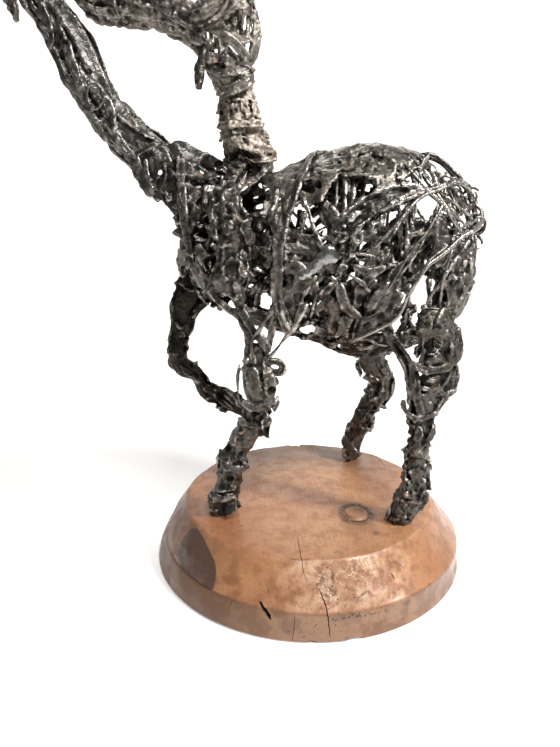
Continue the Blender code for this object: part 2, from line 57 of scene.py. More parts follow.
Colour = tuple[float, float, float]
Point = tuple[float, float, float]
Spot = tuple[float, float]
Row = Sequence[float]
Route = list[tuple[Vector, Vector]]

# The figure's sizes are written in millimetres.
MM = 0.001
LEFT = -1
RIGHT = 1
SIDES = {LEFT: "left", RIGHT: "right"}
ACROSS = Vector((0, 1, 0))
UP = Vector((0, 0, 1))

# Where the viewer's eye is. Openings in the two flanks line up as seen from here.
EYE = Vector((-0.0258, -0.5127, 0.3152))


# ---------------------------------------------------------------- lines and noise


def flowing(rows: Sequence[Row], place: float) -> tuple[float, ...]:
    """Finds a smooth row between the rows of a table (Catmull-Rom).

    Args:
        rows: the table, each row a few numbers.
        place: where to read it, counted in rows.

    Returns:
        The row at that place.
    """
    last = len(rows) - 1
    first = min(int(place), last - 1)
    t = place - first
    quad = (rows[max(first - 1, 0)], rows[first], rows[first + 1], rows[min(first + 2, last)])
    return tuple(
        0.5 * (2 * b + (c - a) * t + (2 * a - 5 * b + 4 * c - d) * t**2 + (3 * b - 3 * c + d - a) * t**3)
        for a, b, c, d in zip(*quad)
    )


def spaced(rows: Sequence[Row], steps: int) -> list[tuple[float, ...]]:
    """Reads a table smoothly at even places.

    Args:
        rows: the table.
        steps: how many steps to take from its first row to its last.

    Returns:
        steps + 1 rows.
    """
    return [flowing(rows, (len(rows) - 1) * step / steps) for step in range(steps + 1)]


def metres(sizes: Row) -> tuple[float, ...]:
    """Turns millimetres to metres."""
    return tuple(size * MM for size in sizes)


def length_of(points: Sequence[Row]) -> float:
    """The length of the straight pieces between points in space."""
    return sum((Vector(b[:3]) - Vector(a[:3])).length for a, b in zip(points, points[1:]))


def swirl(points: np.ndarray, size: float, seed: int) -> np.ndarray:
    """Smooth noise in space.

    Args:
        points: an array of places, one a row.
        size: how far apart the noise's lumps are.
        seed: which noise.

    Returns:
        A value from -1 to 1 for each place.
    """
    scaled = points / size + 37.7 + 11.3 * seed
    base = np.floor(scaled).astype(np.int64)
    part = scaled - base
    part = part * part * (3 - 2 * part)
    total = np.zeros(len(points))
    for corner in product((0, 1), repeat=3):
        cell = base + corner
        mixed = cell[:, 0] * 374761393 + cell[:, 1] * 668265263 + cell[:, 2] * 2147483647 + seed * 144665
        mixed = (mixed ^ (mixed >> 13)) * 1274126177 & 0xFFFFFFFF
        value = ((mixed ^ (mixed >> 16)) & 0xFFFF) / 32767.5 - 1
        share = np.where(corner, part, 1 - part)
        total += value * share.prod(axis=1)
    return total


def swirl_at(place: Vector, size: float, seed: int) -> float:
    """Smooth noise at one place."""
    return float(swirl(np.array([place[:]]), size, seed)[0])


# ---------------------------------------------------------------- stock


class Stock(Enum):
    """Cross sections of the iron, as pairs of shares of the half width and half thickness."""

    ROD = tuple((cos(2 * pi * k / 8), sin(2 * pi * k / 8)) for k in range(8))
    STRAP = ((1, 0.3), (0.7, 1), (-0.7, 1), (-1, 0.3), (-1, -0.3), (-0.7, -1), (0.7, -1), (1, -0.3))
    CREASED = (
        (1, 0.2), (0.45, 0.5), (0, 1.5), (-0.45, 0.5), (-1, 0.2), (-0.8, -0.9), (0, -0.4), (0.8, -0.9),
    )


ROD, STRAP, CREASED = Stock.ROD, Stock.STRAP, Stock.CREASED
PLATE_THICKNESS = 0.0017
LINING_THICKNESS = 0.0014


@dataclass(frozen=True)
class Station:
    """A cross section of a swept member: its place, its two directions and its two half sizes."""

    place: Vector
    across: Vector
    outward: Vector
    half_width: float
    half_thickness: float


def sweep(stations: Sequence[Station], stock: Sequence[Spot]) -> bmesh.types.BMesh:
    """Rolls a grid into a closed bar through its stations.

    Args:
        stations: the cross sections, from one end to the other.
        stock: the outline that each section has.

    Returns:
        A mesh builder that holds the bar.
    """
    builder = bmesh.new()
    rings, corners = len(stations) - 1, len(stock)
    bmesh.ops.create_grid(builder, x_segments=rings, y_segments=corners, size=1.0)
    for vertex in builder.verts:
        station = stations[round((vertex.co.x + 1) / 2 * rings)]
        wide, thick = stock[round((vertex.co.y + 1) / 2 * corners) % corners]
        reach = station.across * (wide * station.half_width)
        vertex.co = station.place + reach + station.outward * (thick * station.half_thickness)
    bmesh.ops.remove_doubles(builder, verts=builder.verts, dist=1e-7)
    rims = [edge for edge in builder.edges if edge.is_boundary]
    bmesh.ops.holes_fill(builder, edges=rims, sides=corners)
    return builder


def bar(
    route: Route,
    half_width: float,
    half_thickness: float,
    stock: Stock = STRAP,
    taper: Spot = (0.6, 0.6),
    roll: Spot = (0.0, 0.0),
    swell: float = 0.0,
) -> bmesh.types.BMesh:
    """Sweeps a rod or strap along places with outward directions.

    Args:
        route: the places, each with the direction that faces out there.
        half_width: half the width, across the run and along the surface.
        half_thickness: half the thickness.
        stock: the cross section.
        taper: the share of its size that is left at each end.
        roll: the turn about its own run at each end, in radians.
        swell: how much wider it is in the middle, as a share.

    Returns:
        A mesh builder that holds the bar.
    """
    places = [place for place, _ in route]
    last = len(places) - 1
    stations = []
    for index, (place, outward) in enumerate(route):
        part = index / last
        ahead = (places[min(index + 1, last)] - places[max(index - 1, 0)]).normalized()
        across = ahead.cross(outward).normalized()
        turn = roll[0] + (roll[1] - roll[0]) * part
        lifted = ahead.cross(across)
        across, lifted = across * cos(turn) + lifted * sin(turn), lifted * cos(turn) - across * sin(turn)
        near_start, near_end = min(1.0, part * last / 2), min(1.0, (1 - part) * last / 2)
        size = (taper[0] + (1 - taper[0]) * near_start) * (taper[1] + (1 - taper[1]) * near_end)
        wide = size * (1 + swell * sin(pi * part))
        stations.append(Station(place, across, lifted, half_width * wide, half_thickness * size))
    return sweep(stations, stock.value)


def crag(place: Vector, size: Point, dice: Random, turn: Matrix | None = None) -> bmesh.types.BMesh:
    """A faceted lump of weld metal or crushed sheet.

    Args:
        place: its middle.
        size: its half sizes.
        dice: shakes its facets.
        turn: how it lies, at random if not given.

    Returns:
        A mesh builder that holds the lump.
    """
    builder = bmesh.new()
    bmesh.ops.create_icosphere(builder, subdivisions=1 if dice.random() < 0.5 else 2, radius=1.0)
    for vertex in builder.verts:
        vertex.co *= dice.uniform(0.72, 1.18)
    if turn is None:
        axis = Vector((dice.gauss(0, 1), dice.gauss(0, 1), dice.gauss(0, 1))).normalized()
        turn = Matrix.Rotation(dice.uniform(0, 2 * pi), 4, axis)
    placed = Matrix.Translation(place) @ turn @ Matrix.Diagonal((*size, 1.0))
    bmesh.ops.transform(builder, matrix=placed, verts=builder.verts)
    return builder


def crushed_plate(
    place: Vector, outward: Vector, along: Vector, size: Spot, dice: Random
) -> bmesh.types.BMesh:
    """A scrap of sheet, torn at its edges and crushed into facets.

    Args:
        place: its middle.
        outward: the direction that it faces.
        along: the direction of its length, roughly.
        size: its half length and half width.
        dice: crushes it.

    Returns:
        A mesh builder that holds the plate.
    """
    across = outward.cross(along).normalized()
    ahead = across.cross(outward).normalized()
    curl = dice.uniform(-0.5, 0.9)
    builder = bmesh.new()
    cells = dice.choice((3, 4, 5)), dice.choice((2, 3))
    bmesh.ops.create_grid(builder, x_segments=cells[0], y_segments=cells[1], size=1.0)
    for vertex in builder.verts:
        u, v, _ = vertex.co
        ragged = 1 + dice.uniform(-0.28, 0.22)
        drop = -curl * size[1] * v * v + dice.uniform(-0.0012, 0.0012)
        vertex.co = place + ahead * (u * ragged * size[0]) + across * (v * ragged * size[1]) + outward * drop
    bmesh.ops.triangulate(builder, faces=builder.faces)
    bmesh.ops.recalc_face_normals(builder, faces=builder.faces)
    bmesh.ops.solidify(builder, geom=builder.faces[:], thickness=PLATE_THICKNESS)
    return builder


def beaten_sheet(
    place_of: Callable[[float, float], tuple[Vector, Vector]],
    cells: tuple[int, int],
    thickness: float,
    keep: Callable[[Vector], bool],
    folds: float = 0.0,
    seed: int = 0,
) -> bmesh.types.BMesh:
    """Cuts a sheet to a ragged shape, folds it a little and gives it its thickness.

    Args:
        place_of: from two shares between 0 and 1 to a place and the outward direction there.
        cells: how many cells the sheet has each way.
        thickness: the sheet's thickness.
        keep: says of a place whether there is metal.
        folds: how far the sheet swings in and out.
        seed: which folds.

    Returns:
        A mesh builder that holds the sheet.
    """
    builder = bmesh.new()
    bmesh.ops.create_grid(builder, x_segments=cells[0], y_segments=cells[1], size=1.0)
    placed = [place_of((v.co.x + 1) / 2, (v.co.y + 1) / 2) for v in builder.verts]
    places = np.array([place for place, _ in placed])
    swing = folds * (swirl(places, 0.017, seed) + 0.5 * swirl(places, 0.007, seed + 1))
    for vertex, (place, outward), out in zip(builder.verts, placed, swing):
        vertex.co = place + outward * float(out)
    lost = [face for face in builder.faces if not keep(face.calc_center_median())]
    bmesh.ops.delete(builder, geom=lost, context="FACES")
    bmesh.ops.solidify(builder, geom=builder.faces[:], thickness=thickness)
    return builder


# ---------------------------------------------------------------- finishes


@dataclass(frozen=True)
class Value:
    """A number or colour in a node tree. It can be reckoned with like a number."""

    net: "Net"
    socket: bpy.types.NodeSocket

    def __add__(self, other: "Value | float") -> "Value":
        """The sum of both."""
        return self.net.math("ADD", self, other)

    def __sub__(self, other: "Value | float") -> "Value":
        """What is left when the other is taken off."""
        return self.net.math("SUBTRACT", self, other)

    def __rsub__(self, other: float) -> "Value":
        """What is left of a number when this is taken off."""
        return self.net.math("SUBTRACT", other, self)

    def __mul__(self, other: "Value | float") -> "Value":
        """The product of both."""
        return self.net.math("MULTIPLY", self, other)

    def ramp(self, low: float, high: float) -> "Value":
        """A mask that rises smoothly from 0 at low to 1 at high, or falls if low is the higher."""
        falls = float(low > high)
        feeds = {"Value": self, "From Min": min(low, high), "From Max": max(low, high)}
        feeds |= {"To Min": falls, "To Max": 1 - falls}
        return self.net.value("MapRange", feeds, interpolation_type="SMOOTHSTEP")


# What a node's inputs are given, by their names or numbers.
Feeds = dict[str | int, Value | float | Colour]


@dataclass(frozen=True)
class Net:
    """A node tree with short ways to add and join nodes."""

    tree: bpy.types.NodeTree

    def feed(self, node: bpy.types.Node, feeds: Feeds) -> None:
        """Joins a node's inputs to values, or sets them."""
        for label, value in feeds.items():
            socket = node.inputs[label]
            if isinstance(value, Value):
                self.tree.links.new(value.socket, socket)
            else:
                socket.default_value = (*value, 1.0) if socket.type == "RGBA" else value

    def node(self, kind: str, feeds: Feeds, **settings: object) -> bpy.types.Node:
        """Adds a node, sets its properties and feeds its inputs."""
        made = self.tree.nodes.new("ShaderNode" + kind)
        for name, value in settings.items():
            setattr(made, name, value)
        self.feed(made, feeds)
        return made

    def value(self, kind: str, feeds: Feeds, output: str | int = 0, **settings: object) -> Value:
        """Adds a node and gives one of its outputs."""
        return Value(self, self.node(kind, feeds, **settings).outputs[output])

    def math(self, operation: str, a: Value | float, b: Value | float, clamp: bool = False) -> Value:
        """A number worked out from two others."""
        return self.value("Math", {0: a, 1: b}, operation=operation, use_clamp=clamp)

    def blend(self, share: Value, a: Value | Colour, b: Value | Colour) -> Value:
        """A colour between two others."""
        return self.value("Mix", {0: share, 6: a, 7: b}, 2, data_type="RGBA")

    def where(self) -> Value:
        """The place on the object."""
        return self.value("TexCoord", {}, "Object")

    def mark(self, name: str) -> Value:
        """A mask that the mesh carries."""
        return self.value("Attribute", {}, "Fac", attribute_name=name)

    def noise(self, where: Value, scale: float, detail: float = 3.0, distortion: float = 0.0) -> Value:
        """Noise from 0 to 1 in space."""
        feeds = {"Vector": where, "Scale": scale, "Detail": detail, "Distortion": distortion}
        return self.value("TexNoise", feeds, "Fac")

    def warped(self, where: Value, scale: float, reach: float) -> Value:
        """Shifts a vector by noise."""
        shift = self.value("TexNoise", {"Scale": scale, "Vector": where}, "Color")
        shrunk = self.value("VectorMath", {0: shift, "Scale": reach}, operation="SCALE")
        return self.value("VectorMath", {0: where, 1: shrunk}, operation="ADD")

    def stretched(self, where: Value, scale: Point, turn: Point = (0, 0, 0)) -> Value:
        """Places turned and stretched, for a pattern that runs one way."""
        feeds = {"Vector": where, "Rotation": turn, "Scale": scale}
        return self.value("Mapping", feeds, vector_type="POINT")

    def bump(self, height: Value, strength: float, distance: float) -> Value:
        """The shading of a surface that rises and falls by a height."""
        return self.value("Bump", {"Strength": strength, "Distance": distance, "Height": height}, "Normal")


def new_material(name: str) -> tuple[bpy.types.Material, Net, bpy.types.Node]:
    """A material with the net of its node tree and its shader."""
    made = bpy.data.materials.new(name)
    made.use_nodes = True
    return made, Net(made.node_tree), made.node_tree.nodes["Principled BSDF"]


@cache
def weathered_iron_group() -> bpy.types.NodeTree:
    """Builds the shared effect of worked iron: painted shade in its crevices, brown rust, edges worn bright
    that also stand for painted highlights, fine grit.
    """
    tree = bpy.data.node_groups.new("Weathered iron", "ShaderNodeTree")
    for way, kind, labels in (
        ("INPUT", "Float", ("Relief", "Rust share", "Wear", "Roughness")),
        ("INPUT", "Color", ("Crevice shade", "Body", "Worn", "Rust")),
        ("OUTPUT", "Color", ("Color",)),
        ("OUTPUT", "Float", ("Roughness", "Metallic", "Height")),
    ):
        for label in labels:
            tree.interface.new_socket(label, in_out=way, socket_type="NodeSocket" + kind)
    net, sink = Net(tree), tree.nodes.new("NodeGroupOutput")
    takes = {socket.name: Value(net, socket) for socket in tree.nodes.new("NodeGroupInput").outputs}
    where, relief = net.where(), takes["Relief"]
    broad = net.noise(where, 60.0, 3.0, 0.6)
    middle = net.noise(where, 240.0, 4.0, 0.8)
    shade = net.math("POWER", broad * 1.1 + middle * 0.9, 2.0)
    colour = net.value("HueSaturation", {"Value": shade * 0.95 + 0.05, "Color": takes["Body"]})
    level = net.noise(where, 95.0, 5.0, 1.2) - (0.78 - takes["Rust share"] * 0.5)
    rusty = level.ramp(0.0, 0.16) * relief.ramp(0.85, 0.60)
    edge = relief + (middle - 0.5) * 0.45
    # Worn edges: bright rubbed metal on edges that stand proud, which also serves as painted highlight.
    worn = net.math("MULTIPLY", edge.ramp(0.60, 0.92), takes["Wear"], clamp=True)
    # Painted shade: where the relief is low, in crevices and dents, the colour goes towards the near-black
    # colour of painted shade.
    hollow = (relief + (broad - 0.5) * 0.2).ramp(0.55, 0.34)
    for share, label in ((rusty * 0.8, "Rust"), (hollow * 0.85, "Crevice shade"), (worn, "Worn")):
        colour = net.blend(share, colour, takes[label])
    rough = takes["Roughness"] + (middle - 0.5) * 0.5 + rusty * 0.22 + hollow * 0.25
    cells = {"Vector": net.warped(where, 140.0, 0.008), "Scale": 230.0}
    facets = net.value("TexVoronoi", cells, "Distance", feature="F1")
    gives = {
        "Color": colour,
        "Roughness": net.math("SUBTRACT", rough, worn * 0.10, clamp=True),
        "Metallic": net.math("SUBTRACT", 0.86, rusty * 0.6, clamp=True),
        "Height": middle * 0.55 + net.noise(where, 900.0) * 0.35 + facets * 0.9,
    }
    net.feed(sink, gives)
    return tree


@dataclass(frozen=True)
class IronFinish:
    """A finish of the iron: colours of the painted shade in its crevices, of its body, of its worn edges,
    which also paint highlights, and of its rust, and how it shines.
    """

    name: str
    # The near-black colour painted into crevices as shade.
    hollow: Colour = (0.010, 0.009, 0.008)
    body: Colour = (0.085, 0.078, 0.070)
    # The colour of worn edges, which also serves as painted highlight.
    worn: Colour = (0.58, 0.54, 0.49)
    rust: Colour = (0.215, 0.130, 0.070)
    rust_share: float = 0.35
    wear: float = 0.75
    roughness: float = 0.46
    grit: float = 0.7

    def material(self) -> bpy.types.Material:
        """Builds the material round the shared effect of worked iron."""
        made, net, shader = new_material(self.name)
        feeds = {
            "Relief": net.mark("relief"), "Crevice shade": self.hollow, "Body": self.body, "Worn": self.worn,
            "Rust": self.rust, "Rust share": self.rust_share, "Wear": self.wear, "Roughness": self.roughness,
        }
        group = net.node("Group", {}, node_tree=weathered_iron_group())
        net.feed(group, feeds)
        colour, rough, metal, height = (Value(net, socket) for socket in group.outputs)
        bump = net.bump(height, self.grit, 0.0012)
        net.feed(shader, {"Base Color": colour, "Roughness": rough, "Metallic": metal, "Normal": bump})
        net.feed(shader, {"Specular IOR Level": 0.3})
        return made


# ---------------------------------------------------------------- weldments


@dataclass(frozen=True)
class Beating:
    """How a fused surface is worked: lumps and folds as (size, height), and smoothing passes."""

    lumps: tuple[Spot, ...] = ((0.0075, 0.0006), (0.0030, 0.00022))
    folds: tuple[Spot, ...] = ((0.0085, 0.0007),)
    pits: float = 0.0
    smooth: int = 1


@dataclass(frozen=True)
class Dent:
    """A hollow pushed into a fused surface and darkened there as painted shade: its middle, its reach and
    its depth.
    """

    place: Point
    reach: float
    depth: float

    def nearness(self, places: np.ndarray) -> np.ndarray:
        """How near each place is to the middle: 1 there and 0 at the hollow's rim."""
        return 1 - (np.linalg.norm(places - np.array(self.place) * MM, axis=1) / (self.reach * MM)) ** 2


def neighbours_mean(values: np.ndarray, edges: np.ndarray, count: int) -> np.ndarray:
    """The mean of each point's neighbours along the edges."""
    first, second = edges[:, 0], edges[:, 1]
    share = np.bincount(first, minlength=count) + np.bincount(second, minlength=count)
    columns = [
        np.bincount(first, weights=column[second], minlength=count)
        + np.bincount(second, weights=column[first], minlength=count)
        for column in values.T
    ]
    return np.stack(columns, axis=1) / np.maximum(share, 1)[:, None]


def read_mesh(mesh: bpy.types.Mesh) -> tuple[np.ndarray, np.ndarray, np.ndarray]:
    """Places, outward directions and edges of a mesh, as arrays."""
    count = len(mesh.vertices)
    places = np.empty(count * 3)
    mesh.vertices.foreach_get("co", places)
    directions = np.empty(count * 3)
    mesh.vertices.foreach_get("normal", directions)
    edges = np.empty(len(mesh.edges) * 2, dtype=np.int64)
    mesh.edges.foreach_get("vertices", edges)
    return places.reshape(-1, 3), directions.reshape(-1, 3), edges.reshape(-1, 2)


def write_places(mesh: bpy.types.Mesh, places: np.ndarray) -> None:
    """Puts a mesh's points at new places."""
    mesh.vertices.foreach_set("co", places.ravel())
    mesh.update()


def write_mark(mesh: bpy.types.Mesh, name: str, values: np.ndarray) -> None:
    """Keeps a value from 0 to 1 for each point of a mesh."""
    attribute = mesh.attributes.new(name, "FLOAT", "POINT")
    attribute.data.foreach_set("value", np.clip(values, 0, 1).astype(np.float32))


def mesh_from(builder: bmesh.types.BMesh, name: str) -> bpy.types.Mesh:
    """Turns a builder into a mesh and frees it."""
    mesh = bpy.data.meshes.new(name)
    builder.to_mesh(mesh)
    builder.free()
    return mesh


def work_surface(mesh: bpy.types.Mesh, beating: Beating, seed: int, dents: Iterable[Dent] = ()) -> None:
    """Beats lumps, folds, pits and dents into a fused mesh."""
    places, directions, edges = read_mesh(mesh)
    for _ in range(beating.smooth):
        places = places * 0.5 + neighbours_mean(places, edges, len(places)) * 0.5
    out = np.zeros(len(places))
    for number, (size, height) in enumerate(beating.lumps):
        out += height * swirl(places, size, seed + number)
    for number, (size, height) in enumerate(beating.folds):
        out += height * (1 - 2.6 * np.abs(swirl(places, size, seed + 20 + number)))
    if beating.pits:
        deep = swirl(places, 0.0034, seed + 40)
        out -= beating.pits * np.clip((deep - 0.42) * 4, 0, 1)
    for dent in dents:
        out -= dent.depth * MM * np.clip(dent.nearness(places), 0, 1) ** 1.5
    write_places(mesh, places + directions * out[:, None])


def mark_relief(mesh: bpy.types.Mesh, dents: Iterable[Dent] = (), reach: float = 0.00045) -> None:
    """Writes for each point how far it stands proud: 0.5 is flat, more an edge, less a hollow or dent; dents
    are pushed lower still, which paints shade in them.
    """
    places, directions, edges = read_mesh(mesh)
    level = places
    for _ in range(3):
        level = neighbours_mean(level, edges, len(places))
    proud = ((places - level) * directions).sum(axis=1)
    for _ in range(5):
        level = neighbours_mean(level, edges, len(places))
    broad = ((places - level) * directions).sum(axis=1)
    flat, fine, coarse, dent_shade, full_depth = 0.5, 0.11, 0.075, 0.34, 4
    value = flat + fine * proud / reach + coarse * broad / reach
    # Painted shade: each dent lowers the value, which darkens it in the iron's finish.
    for dent in dents:
        value -= dent_shade * min(1.0, dent.depth / full_depth) * np.clip(0.2 + dent.nearness(places), 0, 1)
    write_mark(mesh, "relief", value)


def settle(piece: bpy.types.Object) -> None:
    """Applies a piece's modifiers and lets go of its old mesh."""
    bpy.context.view_layer.update()
    made = bpy.data.meshes.new_from_object(piece.evaluated_get(bpy.context.evaluated_depsgraph_get()))
    piece.modifiers.clear()
    old, piece.data = piece.data, made
    bpy.data.meshes.remove(old)
    made.name = piece.name


def place_piece(name: str, data: bpy.types.ID) -> bpy.types.Object:
    """Puts a mesh, a lamp or a camera in the scene at the origin."""
    piece = bpy.data.objects.new(name, data)
    bpy.context.scene.collection.objects.link(piece)
    return piece


@dataclass(frozen=True)
class Opening:
    """A hole that is seen right through: its middle and half sizes on the left flank, and its turn."""

    x: float
    z: float
    half_x: float
    half_z: float
    turn: float = 0.0

    def holds(self, x: float, z: float, spare: float) -> bool:
        """Says whether a spot is in the hole, or within spare of it."""
        x, z, turn = x - self.x * MM, z - self.z * MM, radians(self.turn)
        along, across = x * cos(turn) + z * sin(turn), z * cos(turn) - x * sin(turn)
        return (along / (self.half_x * MM + spare)) ** 2 + (across / (self.half_z * MM + spare)) ** 2 < 1


@dataclass
class Weldment:
    """Members gathered into one piece of the figure, then fused or left as drawn stock."""

    name: str
    finish: IronFinish
    seed: int = 1
    voxel: float = 0.0010
    beating: Beating = Beating()
    warp: tuple[Spot, ...] = ((0.022, 0.0012), (0.009, 0.0007))
    replaces: tuple[str, ...] = ()
    slot: str = "iron"
    dents: tuple[Dent, ...] = ()
    # The share of its faces that a fused piece keeps, in the places that need them least.
    thinning: float = 0.36
    bare: Opening | None = None
    builder: bmesh.types.BMesh = field(default_factory=bmesh.new)

    def add(self, part: bmesh.types.BMesh) -> None:
        """Adds a member and frees its builder, unless its middle lies in the bare spot."""
        if self.bare:
            middle = sum((vertex.co for vertex in part.verts), Vector()) / len(part.verts)
            if self.bare.holds(middle.x, middle.z, 0.0):
                part.free()
                return
        carrier = mesh_from(part, "member")
        self.builder.from_mesh(carrier)
        bpy.data.meshes.remove(carrier)

    def gathered(self) -> bpy.types.Mesh:
        """The members as one mesh, bent a little out of true."""
        mesh = mesh_from(self.builder, self.name)
        places = read_mesh(mesh)[0]
        for number, (size, reach) in enumerate(self.warp):
            shift = [swirl(places, size, self.seed * 7 + number * 3 + axis) for axis in range(3)]
            places = places + reach * np.stack(shift, axis=1)
        write_places(mesh, places)
        return mesh

    def fused(self) -> bpy.types.Object:
        """Melts the members into one skin and works its surface."""
        piece = place_piece(self.name, self.gathered())
        melt = piece.modifiers.new("Melt", "REMESH")
        melt.mode, melt.voxel_size = "VOXEL", self.voxel
        settle(piece)
        work_surface(piece.data, self.beating, self.seed, self.dents)
        mark_relief(piece.data, self.dents)
        thin = piece.modifiers.new("Thin", "DECIMATE")
        thin.ratio = self.thinning
        settle(piece)
        return piece

    def drawn(self) -> bpy.types.Object:
        """Leaves the members as separate smooth bars in one piece."""
        bmesh.ops.recalc_face_normals(self.builder, faces=self.builder.faces)
        piece = place_piece(self.name, self.gathered())
        mark_relief(piece.data)
        return piece

    def finished(self, fuse: bool = True) -> bpy.types.Object:
        """Makes the piece, melting its members together or not, dresses it and ties it to the frame."""
        piece = self.fused() if fuse else self.drawn()
        piece.data.shade_smooth()
        piece.data.materials.clear()
        piece.data.materials.append(self.finish.material())
        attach(piece, "root")
        if self.replaces:
            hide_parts(*self.replaces)
        log.info("%s: %d triangles", self.name, sum(face.loop_total - 2 for face in piece.data.polygons))
        return piece


# ---------------------------------------------------------------- the horse's barrel


@dataclass(frozen=True)
class Openings:
    """All the holes that light comes through, with the plane of the left flank that they are given on."""

    holes: tuple[Opening, ...]
    plane: float = -0.055

    def clear(self, place: Vector, spare: float = 0.0) -> bool:
        """Says whether a place hides none of the holes from the viewer."""
        run = (self.plane - EYE.y) / (place.y - EYE.y)
        x, z = EYE.x + (place.x - EYE.x) * run, EYE.z + (place.z - EYE.z) * run
        return not any(hole.holds(x, z, spare) for hole in self.holes)


# The holes: middle x and z, half sizes and turn.
HOLES = (
    (81, 251, 11, 5.3, 25), (77, 246, 5.5, 3), (78, 226, 4, 3), (64, 225, 3, 8, -15), (30, 268, 4, 3, 30),
    (26, 258, 2.3, 2.3), (-4, 220, 6, 4, 10), (-14, 303, 3, 8.5), (-2, 306, 3, 4.5),
    (32, 319.5, 2.2, 4.2, -20), (38, 324.5, 1.8, 2.8), (54, 302.5, 5.2, 3, 20), (35, 283, 3, 1.8, 30),
    (69.5, 328, 5, 2, -20), (81.5, 333.5, 3, 5.5, -10), (91, 336, 3, 4), (83.5, 313, 3.4, 2.2, -25),
    (108.5, 303, 3.4, 2.2, -30), (98, 312.5, 3.7, 2, -20), (88, 322.5, 3.7, 2),
    (-77.5, 324.5, 3.6, 2.1, -10), (-53, 323, 4.4, 2, 40), (-43.5, 318, 1.3, 1.4), (-41, 312, 3, 1.3, 25),
    (-53.5, 321, 4, 1.4, 40), (-35.5, 294, 3, 1.4), (-37, 242.5, 4.6, 6), (-48.5, 254.5, 2.3, 1.5),
    (-26.5, 316.5, 1.1, 2), (-11, 308, 1.5, 5.7), (-87, 292.5, 2.2, 1.4), (-113.5, 336, 2.2, 2.7, -30),
    (86.6, 185.5, 3, 4.4), (101, 166, 3, 1.7, 15), (84, 243, 3.8, 3.8), (15, 295, 1.5, 1.4),
    (41.5, 316.5, 2.2, 1.4), (66, 301, 2.2, 1.4), (19.5, 207.5, 1.6, 2.4),
)
BARREL_OPENINGS = Openings(tuple(Opening(*hole) for hole in HOLES))


# The dark space under the rider's seat, where the left flank has no iron.
UNDER_SEAT = Opening(-45.5, 318, 9, 12)


@dataclass(frozen=True)
class Member:
    """A strap or rod laid on a flank through (x, z) spots."""

    spots: tuple[Spot, ...]
    half_width: float
    half_thickness: float = 1.1
    lift: float = 4.0
    taper: Spot = (0.5, 0.5)
    stock: Stock = CREASED
    swell: float = 0.0
    roll: Spot = (0.0, 0.0)

    def steps(self, stride: float) -> int:
        """How many strides its run takes."""
        return round(length_of([(x, 0, z) for x, z in self.spots]) / stride)


def rod(spots: tuple[Spot, ...], radius: float, lift: float, taper: Spot = (0.9, 0.9)) -> Member:
    """A rod laid on a flank."""
    return Member(spots, radius, radius, lift, taper, STRAP)


@dataclass(frozen=True)
class Scrap:
    """A stretch of flank packed with scrap: its middle, its reach, how many pieces and how they lie."""

    x: float
    z: float
    reach_x: float
    reach_z: float
    count: int
    run: float
    spread: float = 45.0
    lift: Spot = (-8.0, 3.0)
    width: Spot = (1.3, 4.0)
    length: Spot = (12.0, 34.0)
    plates: float = 0.32
    rods: float = 0.22


